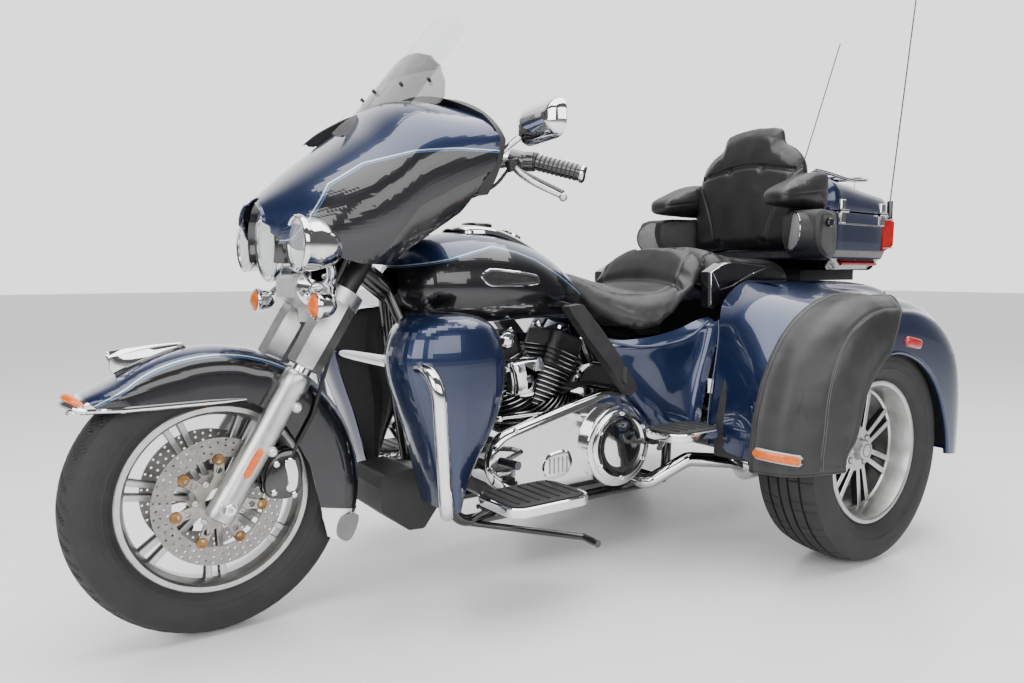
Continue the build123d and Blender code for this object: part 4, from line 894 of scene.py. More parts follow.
def on_arch(turn, radius, y):
    """A (station, y, z) point round the rear axle, turn degrees from the front over the top."""
    return (WHEELBASE - radius * cos(radians(turn)), y, REAR_AXLE_Z + radius * sin(radians(turn)))


def rear_section(turn, lift=0.0, inner=385.0):
    """One rib of the fender from the body side, over the crown and down the outer face to the arch."""
    rise = ramp_smooth(FENDER_RISE, turn)
    arch = ramp_smooth(ARCH, turn)
    sweep = 1 - smooth(10, 75, turn)
    sweep_back = smooth(135, 185, turn)
    rows = []
    # y, share of the way from crown (0) to arch (1), and how far the fender's corners sweep in there
    shape = [(inner, 0, 0), (lerp(inner, 560, 0.5), 0, 0), (560, 0, 6), (610, 0, 20), (644, 0.03, 44),
             (668, 0.09, 74), (684, 0.2, 92), (693, 0.4, 80), (697, 0.62, 50), (698, 0.82, 20), (698, 1.0, 0)]
    for y, share, swept in shape:
        r = lerp(rise, arch, share) - swept * (sweep + 0.45 * sweep_back)
        if y >= 560:
            r -= (1 - sweep) * (1 - sweep_back) * ramp(SHOULDER, y)
        r = max(r, arch) + (lift if share < 0.2 else 0)
        rows.append(on_arch(turn, r, y + (lift if share >= 0.09 else 0)))
    return rows


def put(piece, rows, mat, u=2, v=2, **keep):
    piece.surface(rows, mat, u=u, v=v, mirrored=True, **keep)


body = Piece("rear_body_skin")
put(body, [rear_section(61 + k * 4.2) for k in range(31)], blue, u=1, v=3)
# Arch lip: a small rolled edge that turns in towards the tyre
LIP = ((698, 6), (700, 2), (700, -2), (697, -5), (690, -6), (684, -3), (684, 4))
lip_turns = [-2 + k * 4.2 for k in range(46)]
put(body, [[on_arch(t, ramp_smooth(ARCH, t) + dr, y) for y, dr in LIP] for t in lip_turns], blue, u=1, v=1)
# Fender's inner lining, so that no gap shows round the tyre
lining = []
for t in [-1 + k * 6.2 for k in range(31)]:
    rise = ramp_smooth(FENDER_RISE, t) - 12
    arch = ramp_smooth(ARCH, t)
    lining.append([on_arch(t, r, y) for y, r in (
        (392, rise), (560, rise - 8), (640, lerp(rise, arch, 0.1)), (676, lerp(rise, arch, 0.4)),
        (688, arch + 4))])
put(body, lining, black_plastic, u=1, v=1, flip=True)
# Side of the body between the nose and the fender, and the flare that becomes the deck
nose = [
    [(1006, 150, 642), (1090, 215, 640), (1180, 250, 650), (1270, 262, 668), (1345, 262, 690),
     (1400, 262, 700)],
    [(1008, 196, 632), (1092, 236, 622), (1180, 262, 628), (1272, 276, 645), (1340, 286, 668),
     (1380, 300, 690)],
    [(1012, 200, 622), (1096, 238, 608), (1182, 264, 610), (1276, 280, 622), (1344, 292, 646),
     (1372, 330, 680)],
    [(1030, 196, 585), (1110, 230, 572), (1190, 256, 566), (1270, 274, 566), (1330, 292, 574),
     (1350, 330, 600)],
    [(1085, 190, 520), (1140, 222, 505), (1200, 250, 494), (1262, 272, 488), (1304, 294, 486),
     (1318, 330, 500)],
    [(1150, 186, 440), (1180, 218, 425), (1220, 248, 412), (1262, 270, 402), (1290, 296, 392),
     (1296, 330, 392)],
    [(1190, 184, 392), (1215, 216, 378), (1245, 246, 366), (1275, 270, 352), (1290, 298, 342),
     (1296, 330, 340)],
]
put(body, nose, blue, u=4, v=4)
flare = [
    [(1296, 362, 335), (1285, 440, 330), (1278, 500, 325), (1276, 540, 318)],
    [(1300, 360, 400), (1288, 440, 395), (1283, 500, 390), (1281, 540, 385)],
    [(1318, 352, 480), (1306, 430, 478), (1298, 495, 475), (1296, 540, 468)],
    [(1342, 344, 560), (1332, 420, 565), (1326, 490, 566), (1332, 540, 562)],
    [(1362, 336, 640), (1360, 410, 655), (1368, 480, 655), (1384, 540, 636)],
    [(1371, 330, 694), (1388, 400, 715), (1412, 470, 712), (1446, 540, 694)],
    [(1428, 300, 754), (1456, 400, 763), (1490, 470, 752), (1530, 540, 732)],
    [(1527, 290, 806), (1556, 400, 792), (1590, 470, 774), (1620, 540, 755)],
    [(1640, 280, 808), (1660, 390, 802), (1690, 450, 786), (1710, 540, 762)],
    [(1760, 280, 808), (1768, 384, 803), (1776, 430, 783), (1790, 540, 762)],
]
put(body, flare, blue, u=4, v=4)
deck = [
    [(1530, 120, 806), (1532, 260, 806), (1545, 370, 800), (1552, 430, 778), (1546, 490, 742),
     (1530, 520, 720)],
    [(1620, 120, 808), (1622, 270, 808), (1640, 384, 803), (1650, 440, 786), (1652, 505, 764),
     (1650, 545, 742)],
    [(1760, 120, 808), (1760, 280, 808), (1768, 384, 802), (1776, 420, 782), (1780, 480, 768),
     (1784, 530, 756)],
    [(1920, 120, 806), (1920, 280, 806), (1924, 380, 799), (1932, 410, 776), (1936, 460, 758),
     (1940, 510, 740)],
    [(2060, 120, 800), (2060, 280, 800), (2064, 376, 790), (2074, 400, 764), (2080, 440, 716),
     (2090, 480, 660)],
    [(2170, 120, 782), (2172, 280, 780), (2180, 368, 766), (2196, 388, 730), (2206, 405, 680),
     (2214, 420, 600)],
    [(2270, 120, 746), (2274, 270, 742), (2284, 350, 722), (2304, 366, 680), (2314, 372, 620),
     (2318, 376, 560)],
]
put(body, deck, blue, u=4, v=4)
side_low = [
    [(2150, 386, 770), (2214, 386, 700), (2290, 362, 690)],
    [(2090, 392, 640), (2180, 388, 560), (2316, 358, 600)],
    [(2120, 392, 480), (2200, 388, 440), (2322, 356, 460)],
    [(2140, 390, 380), (2210, 384, 400), (2300, 350, 404)],
]
put(body, side_low, blue, u=4, v=4)
tailpiece = [
    [(2284, 0, 742), (2286, 200, 742), (2288, 340, 722)],
    [(2326, 0, 724), (2328, 200, 724), (2322, 346, 706)],
    [(2332, 0, 712), (2332, 200, 712), (2328, 348, 690)],
]
put(body, tailpiece, blue, u=2, v=4)
# Two lines down the side seam
for shift in (0, 11):
    line = [(1366 + shift, 330, 694 - shift * 0.4), (1360 + shift, 336, 640), (1338 + shift, 344, 560),
            (1312 + shift, 352, 480), (1294 + shift, 360, 400), (1290 + shift, 362, 345)]
    for side in (1, -1):
        body.pipe(on_side(side, line), 2.6, black_gloss if shift else blue, n=8, steps=5)
lip_line = [(1010, 199, 650), (1060, 226, 634), (1120, 246, 622), (1190, 262, 622), (1270, 276, 634),
            (1320, 284, 655), (1356, 300, 690)]
for side in (1, -1):
    body.pipe(on_side(side, lip_line), 5, blue, n=10, steps=6)
# Door frame and the trunk's inside
frame_outer = [(0, 726), (200, 724), (340, 712), (352, 690), (356, 560), (352, 450), (336, 406), (200, 400),
               (0, 400)]
frame_inner = [(0, 720), (200, 720), (318, 720), (330, 708), (330, 560), (330, 452), (318, 440), (200, 440),
               (0, 440)]
frame_middle = [(lerp(a[0], b[0], 0.6), lerp(a[1], b[1], 0.6)) for a, b in zip(frame_outer, frame_inner)]
end_half = [(y * 0.5, 580 + (z - 580) * 0.5) for y, z in frame_inner]
end_point = [(0.5, 580)] * len(frame_inner)


def across(*stations_and_outlines):
    return [[(s, y, z) for y, z in outline] for s, outline in stations_and_outlines]


put(body, across((2331, frame_outer), (2333, frame_middle), (2330, frame_inner), (2304, frame_inner)), blue,
    u=1, v=1)
put(body, across((2304, frame_inner), (1800, frame_inner), (1798, end_half), (1798, end_point)),
    black_plastic, u=1, v=1)
for z in (500, 650):
    body.pipe([at(2338, 322, z + 17), at(2338, 322, z + 33)], 6, chrome, n=12, steps=1)
    body.pipe([at(2332, 334, z + 25), at(2338, 324, z + 25)], 7, chrome, n=8, steps=1)
body.done("chassis", "blue_paint", ["rear_body"], angle=50)


# Vinyl covers over the front of the rear fenders
COVER_STEPS, COVER_START, COVER_LIFT = 64, -3.2, 5
SEAM = 27


def cover_grid():
    """Fine rows of the cover's outer face, denser across than along."""
    count = len(rear_section(0))
    rows = []
    for i in range(COVER_STEPS + 1):
        turns = [lerp(COVER_START, lerp(114, 84, j / (count - 1)), i / COVER_STEPS) for j in range(count)]
        rows.append(curve([rear_section(turn, COVER_LIFT, inner=532)[j] for j, turn in enumerate(turns)], 5))
    return rows


def reflector(piece, side, height, ahead, mat):
    """A long bar across the cover's front, with eased ends."""
    path = on_side(side, [(s - ahead, y, z) for s, y, z in curve(
        [(1268, 545, 352), (1274, 582, 350), (1290, 622, 347), (1316, 660, 343)], 6)])
    rows = []
    for k, p in enumerate(path):
        half = height / 2 * min(1, min(k, len(path) - 1 - k) / 1.5 + 0.45)
        rows.append([p + Vector((dx, 0, dz)) / 1000 for dx, dz in (
            (-8, -half), (0, -half), (2.5, -half + 3), (2.5, half - 3), (0, half), (-8, half))])
    piece.grid(rows, mat)


cover_rows = cover_grid()
for word, side in (("left", 1), ("right", -1)):
    cover = Piece(f"fender_cover_{word}")
    grid = []
    last = len(cover_rows[0]) - 1
    for i, row in enumerate(cover_rows):
        line = []
        for j, q in enumerate(row):
            wave = noise.noise(Vector((q.x * 0.012, q.y * 0.02 * side, q.z * 0.012))) * 1.4
            fold = noise.noise(Vector((q.x * 0.03 + 7, q.y * 0.012, q.z * 0.03))) * 1.5
            fold *= smooth(0, 12, last - j + 2)
            groove = -1.6 if j in (SEAM - 1, SEAM) else 0
            hem = 1.8 if min(i, COVER_STEPS - i, j, last - j) in (1, 2) else 0
            push = wave + fold + groove + hem
            push_out = push * 0.7 if q.y > 660 else 0
            line.append(at(q.x + (q.x - WHEELBASE) / 350 * push, (q.y + push_out) * side,
                           q.z + (q.z - REAR_AXLE_Z) / 350 * push))
        grid.append(line)
    cover.grid(grid, vinyl, flip=side == 1)
    trim = Piece(f"fender_cover_trim_{word}")
    for step in (-1, 1):
        path = [g[SEAM] + (g[SEAM + step] - g[SEAM]) * 0.35 for g in grid[1:-1]]
        thread = [p + Vector((p.x - at(WHEELBASE, 0, 0).x, 0, p.z - 0.32)).normalized() * 0.0016
                  for p in path]
        for a, b in zip(thread, thread[1:]):
            for first, end in ((0.1, 0.45), (0.6, 0.95)):
                trim.pipe([a + (b - a) * first, a + (b - a) * end], 0.7, grey_panel, n=5, steps=1)
    hem_path = [g[0] for g in grid] + grid[-1][1:] + [g[-1] for g in reversed(grid[:-1])] + grid[0][-2:0:-1]
    trim.pipe(hem_path, 3.2, vinyl, n=8, steps=1, closed=True)
    reflector(trim, side, 30, 2.5, line_light)
    reflector(trim, side, 24, 5, amber)
    cloth_piece = cover.done("chassis", "vinyl", ["fender_covers"], angle=50)
    trim_piece = trim.done("chassis", "vinyl", [], angle=50)

# Red side markers
MARKER_TILT = radians(-10)
markers = Piece("fender_markers")
shape = [(1764 + a * cos(MARKER_TILT) - b * sin(MARKER_TILT),
          634 + a * sin(MARKER_TILT) + b * cos(MARKER_TILT))
         for a, b in rounded(-40, 40, -15, 15, 12, 5)]
for side in (1, -1):
    markers.levels(shape, [(0, 694), (0, 703), (3, 707), (8, 708)], red, outward(side))
markers.done("chassis", "red_lens", [], angle=60)


# Cushions: lofted forms that are filled out by a short cloth run
PRESSURE, CLOTH_FRAMES, CLOTH_STIFFNESS, CLOTH_MASS = 4.0, 16, 12, 0.3


def apply(obj, name, kind, **settings):
    """Adds a modifier with these settings and applies it."""
    mod = obj.modifiers.new(name, kind)
    for key, value in settings.items():
        setattr(mod, key, value)
    bpy.ops.object.modifier_apply(modifier=name)


def fill_out(obj, cap):
    """Blows the form up a little under pressure; no point moves more than cap millimetres."""
    start = [v.co.copy() for v in obj.data.vertices]
    cloth = obj.modifiers.new("cloth", "CLOTH")
    cloth.settings.uniform_pressure_force = PRESSURE
    cloth.settings.use_pressure = True
    cloth.settings.mass = CLOTH_MASS
    cloth.settings.effector_weights.gravity = 0
    cloth.settings.tension_stiffness = CLOTH_STIFFNESS
    cloth.settings.compression_stiffness = CLOTH_STIFFNESS
    cloth.point_cache.frame_start = 1
    cloth.point_cache.frame_end = CLOTH_FRAMES
    for f in range(1, CLOTH_FRAMES + 1):
        bpy.context.scene.frame_set(f)
    bpy.ops.object.modifier_apply(modifier="cloth")
    bpy.context.scene.frame_set(1)
    for v, old in zip(obj.data.vertices, start):
        move = v.co - old
        if move.length > cap / 1000:
            v.co = old + move.normalized() * cap / 1000


def stuffed(name, rows, mat, cap=12, voxel=0.008, grooves=()):
    """rows are closed loops of metre points; grooves are (distance function in mm, depth, width) rows."""
    piece = Piece(name)
    piece.grid(rows, mat, close_v=True)
    piece.add(rows[0], [tuple(reversed(range(len(rows[0]))))], mat)
    piece.add(rows[-1], [tuple(range(len(rows[-1])))], mat)
    mesh = bpy.data.meshes.new(name)
    mesh.from_pydata(piece.verts, [], piece.faces)
    mesh.materials.append(mat)
    weld(mesh, 0.0001)
    obj = add_object(name, mesh)
    make_active(obj)
    apply(obj, "remesh", "REMESH", mode="VOXEL", voxel_size=voxel)
    apply(obj, "soften", "SMOOTH", iterations=4)
    fill_out(obj, cap)
    apply(obj, "divide", "SUBSURF", levels=1)
    mesh = obj.data
    normals = [v.normal.copy() for v in mesh.vertices]
    for v, n in zip(mesh.vertices, normals):
        s, y, z = (AXLE_X - v.co.x) * 1000, v.co.y * 1000, v.co.z * 1000
        push = noise.noise(Vector((s * 0.02, y * 0.02, z * 0.02)))
        for distance, depth, width in grooves:
            d = distance(s, y, z, n)
            if d is not None and abs(d) < width * 3:
                push -= depth * 2.7 ** (-(d / width) ** 2)
        v.co += n * (push / 1000)
    for poly in mesh.polygons:
        poly.use_smooth = True
    return obj


def finish_pad(obj, replaces):
    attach(obj, "chassis")
    for node in replaces:
        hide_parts(node)


def seat_loop(station, width, edge, top, power, dish):
    """A closed cross loop: over the top from right to left and back along the bottom."""
    ring = []
    for k in range(45):
        c, si = cos(pi * k / 44), sin(pi * k / 44)
        y = width * (abs(c) ** (2 / power)) * (1 if c >= 0 else -1)
        z = edge + (top - edge) * si ** (2 / power)
        z -= dish * (1 - (abs(y) / width) ** 2) * (si > 0.3)
        ring.append(at(station, y, z))
    return ring + [at(station, lerp(-width, width, k / 12) * 0.9, edge + 2) for k in range(1, 12)]


def seat_loops(table, steps):
    """Cross loops for the rows of a table and for straight steps between them."""
    between = [[lerp(p, q, k / steps) for p, q in zip(a, b)] for a, b in zip(table, table[1:])
               for k in range(steps)]
    return [seat_loop(*row) for row in [*between, table[-1]]]


# Rows are station, half width, edge height, top height, squareness and dish
RIDER = [(1016, 72, 806, 846, 2.4, 0), (1040, 96, 770, 838, 2.6, 0), (1075, 140, 716, 822, 2.8, 0),
         (1115, 180, 680, 803, 3, 2), (1170, 210, 660, 786, 3.2, 6), (1230, 226, 668, 778, 3.4, 10),
         (1290, 234, 706, 780, 3.6, 12), (1335, 238, 750, 796, 3.6, 12), (1366, 236, 774, 830, 3.4, 10),
         (1392, 230, 796, 876, 3, 6), (1418, 222, 815, 912, 2.8, 2), (1440, 212, 830, 924, 2.6, 0),
         (1452, 196, 840, 916, 2.4, 0)]
SEAT_WIDTHS = [row[:2] for row in RIDER]


def side_seam(s, y, z, n):
    w = ramp(SEAT_WIDTHS, s)
    return abs(y) - 0.72 * w if n.z > 0.1 and s < 1445 else None


def hump_crease(s, y, z, n):
    bend = 1352 - 22 * (abs(y) / 230) ** 2
    return s - bend if n.z > -0.1 and abs(y) < 215 else None


def front_insert(s, y, z, n):
    return s - (1105 + 30 * (y / 150) ** 2) if n.z > 0.3 and abs(y) < 150 else None


seat = stuffed("rider_seat_cushion", seat_loops(RIDER, 3), leather, cap=10,
               grooves=[(side_seam, 4, 4), (hump_crease, 13, 10), (front_insert, 3, 4)])
finish_pad(seat, ["rider_seat"])

PILLION = [(1456, 190, 812, 900, 2.4, 0), (1470, 214, 806, 910, 2.8, 0), (1500, 230, 804, 908, 3.2, 2),
           (1545, 238, 804, 894, 3.4, 5), (1600, 244, 804, 882, 3.6, 6), (1680, 248, 804, 876, 3.8, 6),
           (1760, 246, 804, 874, 3.8, 4), (1820, 238, 804, 872, 3.4, 2), (1846, 226, 806, 862, 2.8, 0)]
PLEAT_FRONT, PLEAT_REAR, PLEAT_HALF, PLEAT_STEP = 1490, 1830, 168, 42


def pleat(s, y, z, n):
    if n.z < 0.4 or abs(y) > PLEAT_HALF or not PLEAT_FRONT < s < PLEAT_REAR:
        return None
    phase = (s - PLEAT_FRONT + 12 * (y / PLEAT_HALF) ** 2) / PLEAT_STEP
    return (phase - round(phase)) * PLEAT_STEP


def pillion_seam(s, y, z, n):
    return abs(y) - 172 if n.z > 0.2 else None


pillion = stuffed("pillion_cushion", seat_loops(PILLION, 4), leather, cap=10,
                  grooves=[(pleat, 4, 5), (pillion_seam, 5, 4)])
finish_pad(pillion, ["pillion_seat"])

# Backrest: a hat shaped pad that leans back, with a wing on each side
hat = [(-236, 908), (-246, 980), (-250, 1060), (-240, 1150), (-222, 1222), (-182, 1268), (-142, 1292),
       (-130, 1322), (-116, 1346), (-60, 1358), (0, 1361), (60, 1358), (116, 1346), (130, 1322), (142, 1292),
       (182, 1268), (222, 1222), (240, 1150), (250, 1060), (246, 980), (236, 908), (120, 902), (0, 900),
       (-120, 902)]
hat_fine = loop(hat, 4)
face_of = [(900, 1862), (1000, 1868), (1120, 1876), (1200, 1888), (1361, 1912)]


def hat_loop(inset, share):
    """The hat shape, smaller by the inset, at a share of the way from its face to its back."""
    ring = []
    for y, z in hat_fine:
        cy, cz = y * (1 - inset / 250), 1110 + (z - 1110) * (1 - inset / 230)
        ring.append(at(lerp(ramp(face_of, cz) + 6, 1950, share), cy, cz))
    return ring


def dimple(s, y, z, n):
    bend = 1196 + 16 * cos(y / 80)
    return z - bend if n.x > 0.2 and abs(y) < 205 else None


def u_seam(s, y, z, n):
    if n.x < 0.3 or z > 1190:
        return None
    return abs(y) - (112 + 92 * (max(0, z - 930) / 240) ** 1.6) if z > 935 else None


def button(s, y, z, n):
    return hypot(abs(y) - 70, z - 1196) if n.x > 0.2 else None


hat_rows = [hat_loop(*row) for row in ((90, -0.12), (46, -0.1), (16, 0.02), (2, 0.22), (0, 0.6), (8, 0.92),
                                       (30, 1.0))]
back_pad = stuffed("backrest_pad", hat_rows, leather, cap=12,
                   grooves=[(dimple, 12, 9), (u_seam, 4, 4), (button, 8, 12)])
finish_pad(back_pad, ["backrest"])
wing = [(1700, 1060), (1706, 1094), (1766, 1124), (1866, 1160), (1930, 1166), (1944, 1150), (1944, 1050),
        (1900, 1048), (1800, 1048), (1720, 1048)]
wing_fine = loop(wing, 5)


def wing_loop(side, inset, y):
    """The armrest's side outline, smaller by the inset, at a distance out from the middle."""
    cs, cz = 1825, 1104
    return [at(cs + (s - cs) * (1 - inset / 118), side * y, cz + (z - cz) * (1 - inset / 50))
            for s, z in wing_fine]


def wing_seam(s, y, z, n):
    return z - (1076 + (s - 1700) * 0.12) if abs(n.y) > 0.4 else None


for word, side in (("left", 1), ("right", -1)):
    rows = [wing_loop(side, *row) for row in ((16, 208), (5, 216), (1, 236), (0, 258), (1, 280), (6, 298),
                                              (18, 304))]
    pad = stuffed(f"armrest_{word}", rows[::side], leather, cap=8, voxel=0.006, grooves=[(wing_seam, 3, 3)])
    finish_pad(pad, [])


# Fork legs, with faceted upper covers, satin sliders and the axle's nuts
LEG_LEAN = radians(32)
UP = Vector((-sin(LEG_LEAN), 0, cos(LEG_LEAN)))
AHEAD = Vector((cos(LEG_LEAN), 0, sin(LEG_LEAN)))


def on_leg(distance, y, ahead=0.0):
    """A metre point from millimetres up the leg, to the left and ahead of the leg."""
    return front_centre + (UP * distance + AHEAD * ahead) / 1000 + Vector((0, y / 1000, 0))


fork = Piece("fork_legs_dressed")
for side in (1, -1):
    y = side * 110
    fork.lathe(on_leg(0, y), UP, [(-34, 4), (-34, 26), (-31, 31), (-20, 33), (36, 33), (46, 31), (292, 31),
                                  (298, 34), (326, 34), (332, 32), (336, 29), (336, 24)], alloy, n=40)
    fork.lathe(on_leg(0, y), UP, [(336, 23), (352, 23)], chrome, n=32)
    fork.lathe(on_leg(0, y), UP, [(350, 30), (352, 39), (356, 42), (440, 44), (525, 44), (530, 40),
                                  (530, 20)], alloy, n=6)
    fork.lathe(on_leg(0, y), UP, [(530, 24.4), (720, 24.4)], black_satin, n=28)
    fork.lathe(on_leg(0, y + side * 28), (0, side, 0),
               [(-60, 21), (2, 21), (4, 19), (4, 13), (11, 12), (12, 10), (12, 0.1)], alloy, n=28)
    fork.lathe(on_leg(0, y + side * 33), (0, side, 0),
               [(0, 14.5), (9, 14.5), (10.5, 12.5), (10.5, 6), (6, 5), (6, 0.1)], chrome, n=6)
    for up in (150, 262):
        fork.lathe(on_leg(up, y - side * 8, -26), (0, side, 0), [(0, 12), (34, 12), (36, 10), (36, 0.1)],
                   alloy, n=18)
        fork.lathe(on_leg(up, y + side * 26, -26), (0, side, 0),
                   [(0, 8), (6, 8), (7.5, 6.5), (7.5, 3.5), (4, 3), (4, 0.1)], chrome, n=16)
    rows = []
    for distance, w in ((74, 3), (80, 8), (110, 9), (140, 8), (146, 3)):
        rows.append([on_leg(distance, y + side * (31.6 + out), 2 + ahead) for ahead, out in (
            (-w, -5), (-w, 0), (2 - w, 3), (w - 2, 3), (w, 0), (w, -5))])
    fork.grid(rows, amber)
fork.done("fork", "aluminium", ["fork_legs"], angle=35)

caliper = Piece("front_calipers_dressed")
body_line = [(-174, 118), (-186, 166), (-176, 214), (-150, 226), (-118, 214), (-96, 176), (-92, 140),
             (-104, 118), (-140, 108)]
insert = [(-166, 132), (-172, 168), (-164, 200), (-148, 206), (-140, 196), (-146, 162), (-142, 134),
          (-152, 126)]
bridge = [(-176, 122), (-186, 166), (-176, 214), (-154, 224), (-150, 200), (-160, 164), (-160, 126)]
for side in (1, -1):

    def leg_place(a, b, h, side=side):
        return front_centre + Vector((a / 1000, side * h / 1000, b / 1000 - 0.12))

    line = loop(body_line, 4)
    caliper.levels(line, [(6, 77), (1, 80), (0, 84), (0, 92), (3, 99), (9, 102)], black_gloss, leg_place)
    caliper.levels(line, [(8, 46), (0, 50), (0, 54), (4, 57)], black_gloss, leg_place)
    caliper.levels(bridge, [(0, 52), (0, 82)], black_gloss, leg_place)
    caliper.levels(loop(insert, 4), [(0, 100), (0, 104), (2.5, 106)], chrome, leg_place)
    for a, b in ((-112, 130), (-120, 196), (-160, 118)):
        caliper.lathe(leg_place(a, b, 100), (0, side, 0), [(0, 8), (6, 8), (7.5, 6), (7.5, 0.1)], chrome, n=6)
caliper.done("fork", "black_steel", ["front_calipers"], angle=35)

# Headlamp, spot lamps and indicators
lamps = Piece("front_lamps_dressed")


def lamp(centre, radius, depth, lens, bezel, n=56, bullet=True):
    """A lamp that faces forward: bowl behind, chrome ring, dished reflector and a domed lens."""
    ahead = (1, 0, 0)
    rim = radius - bezel
    back_line = [(-depth, 0.1), (-depth * 0.98, radius * 0.3), (-depth * 0.85, radius * 0.62),
                 (-depth * 0.6, radius * 0.86), (-depth * 0.3, radius * 0.97),
                 (-6, radius)] if bullet else [(-depth, radius * 0.94), (-6, radius * 0.97)]
    lamps.lathe(centre, ahead, back_line, chrome, n=n)
    lamps.lathe(centre, ahead, [(-6, radius), (-2, radius + 2.5), (4, radius + 2.5), (8, radius),
                                (9, radius - bezel * 0.4), (6, rim)], chrome, n=n)
    lamps.lathe(centre, ahead, [(6, rim), (1, rim - 1)], chrome, n=n)
    lamps.lathe(centre, ahead, [(1, rim), (-8, radius * 0.72), (-22, radius * 0.4), (-28, 12), (-14, 11),
                                (-12, 0.1)],
                lamp_white, n=n)
    dome = 1.9 if lens is amber else 1
    lamps.lathe(centre, ahead, [(3, rim), (7 * dome, radius * 0.72), (10 * dome, radius * 0.4),
                                (11 * dome, 0.1)], lens, n=n)


lamp(at(152, 0, LAMP_HEIGHT), 90, 92, lens_clear, 11, n=72, bullet=False)
for k in range(11):
    y = 74 * sin(radians(-58 + k * 11.6)) * 0.95
    lamps.pipe([at(146, y, LAMP_HEIGHT - 16), at(146, y, LAMP_HEIGHT + 16)], 0.5, lamp_white, n=5, steps=1)
plate = loop([(190, 792), (205, 838), (262, 846), (292, 800), (300, 750), (262, 742), (215, 756)], 4)
for side in (1, -1):
    lamp(at(154, side * 190, 899), 62, 108, lens_clear, 8)
    lamp(at(186, side * 208, 762), 31, 44, amber, 4, n=40)
    lamps.pipe(on_side(side, [(238, 60, 800), (240, 120, 806), (236, 170, 826), (226, 190, 852)]),
               [15, 13, 12, 11], chrome, n=16)
    lamps.pipe(on_side(side, [(238, 132, 808), (232, 180, 796), (222, 205, 780), (214, 208, 764)]),
               [11, 10, 9, 9], chrome, n=14)
    lamps.levels(plate, [(2, 63), (0, 65), (0, 68), (3, 70)], chrome, outward(side))
    for a, b in ((216, 778), (262, 828), (276, 764)):
        lamps.lathe(at(a, side * 70, b), (0, side, 0), [(0, 9), (4, 8.5), (7, 5), (7.5, 0.1)], chrome, n=20)
for z in (816, 806):
    lamps.pipe([at(226, -66, z), at(222, 0, z - 2), at(226, 66, z)], 10, chrome, n=14)
# Black lining over the headlamp's brow
brow = []
for r, depth in ((90, 156), (94, 140), (99, 130), (104, 138), (104, 166)):
    brow.append([at(depth, r * cos(radians(a)), LAMP_HEIGHT + r * sin(radians(a)))
                 for a in range(-28, 209, 6)])
lamps.grid(brow, black_gloss)
lamps.done("fork", "chrome", ["front_lamps"], angle=35)

# Fork yokes' front panel
nacelle = Piece("fork_nacelle")
panel = []
for s_, w, top, low in ((240, 60, 800, 700), (228, 52, 790, 706), (222, 30, 784, 712), (220, 0, 782, 714)):
    panel.append([(s_ + (800 - z) * 0.128, w, z)
                  for z in (top, lerp(top, low, 0.33), lerp(top, low, 0.66), low)])
nacelle.surface(panel, alloy, u=4, v=4, mirrored=True)
for side in (1, -1):
    nacelle.pipe(on_side(side, [(300, 86, 742), (256, 90, 700), (214, 88, 640)]), 6, black_plastic, n=10)
nacelle.done("fork", "chrome", [], angle=40)

# Vent in the fairing's face
vent = Piece("fairing_vent")
rows = []
outer = curve([(309, 92, 1156), (352, 68, 1176), (386, 40, 1208), (404, 0, 1224)], 6)
inner = curve([(274, 92, 1156), (304, 72, 1184), (352, 36, 1214), (380, 0, 1226)], 6)
for share, sink in ((0, -3), (0.08, 3), (0.2, 4), (0.3, -5), (0.7, -5), (0.8, 4), (0.92, 3), (1, -3)):
    rows.append([Vector((lerp(a.x, b.x, share) - sink * 0.7, lerp(a.y, b.y, share),
                         lerp(a.z, b.z, share) + sink * 0.7))
                 for a, b in zip(outer, inner)])
for side in (1, -1):
    vent.grid([on_side(side, r) for r in rows], black_plastic)
vent.done("fork", "black_plastic", [], angle=40)

# Crest on the front fender
crest = Piece("fender_crest")
mid = [(-194, 0, 616), (-166, 0, 630), (-130, 0, 645), (-90, 0, 659), (-48, 0, 669)]
gasket, fluted = [], []
for k, q in enumerate(curve(mid, 5)):
    t = k / 20
    w = 16 * sin(pi * min(1, t * 0.9 + 0.1)) ** 0.6
    lift = 7 + 44 * (1 - t) ** 1.1 * smooth(-0.05, 0.16, t)
    gasket.append([at(q.x - dx, y, q.z + dz) for y, dx, dz in (
        (-w - 4, -3, -3), (-w - 3, 2, 2), (-w, 3, 4), (w, 3, 4), (w + 3, 2, 2), (w + 4, -3, -3))])
    ring = []
    for j in range(13):
        a = pi * j / 12
        flute = 1 + 0.1 * cos(a * 8)
        ring.append(at(q.x - 3 - lift * 0.55 * sin(a) * flute, w * cos(a) * 0.86,
                       q.z + 3 + lift * 0.8 * sin(a) * flute))
    fluted.append(ring)
crest.grid(gasket, black_gloss)
crest.grid(fluted, chrome)
crest.done("fork", "chrome", [], angle=30)

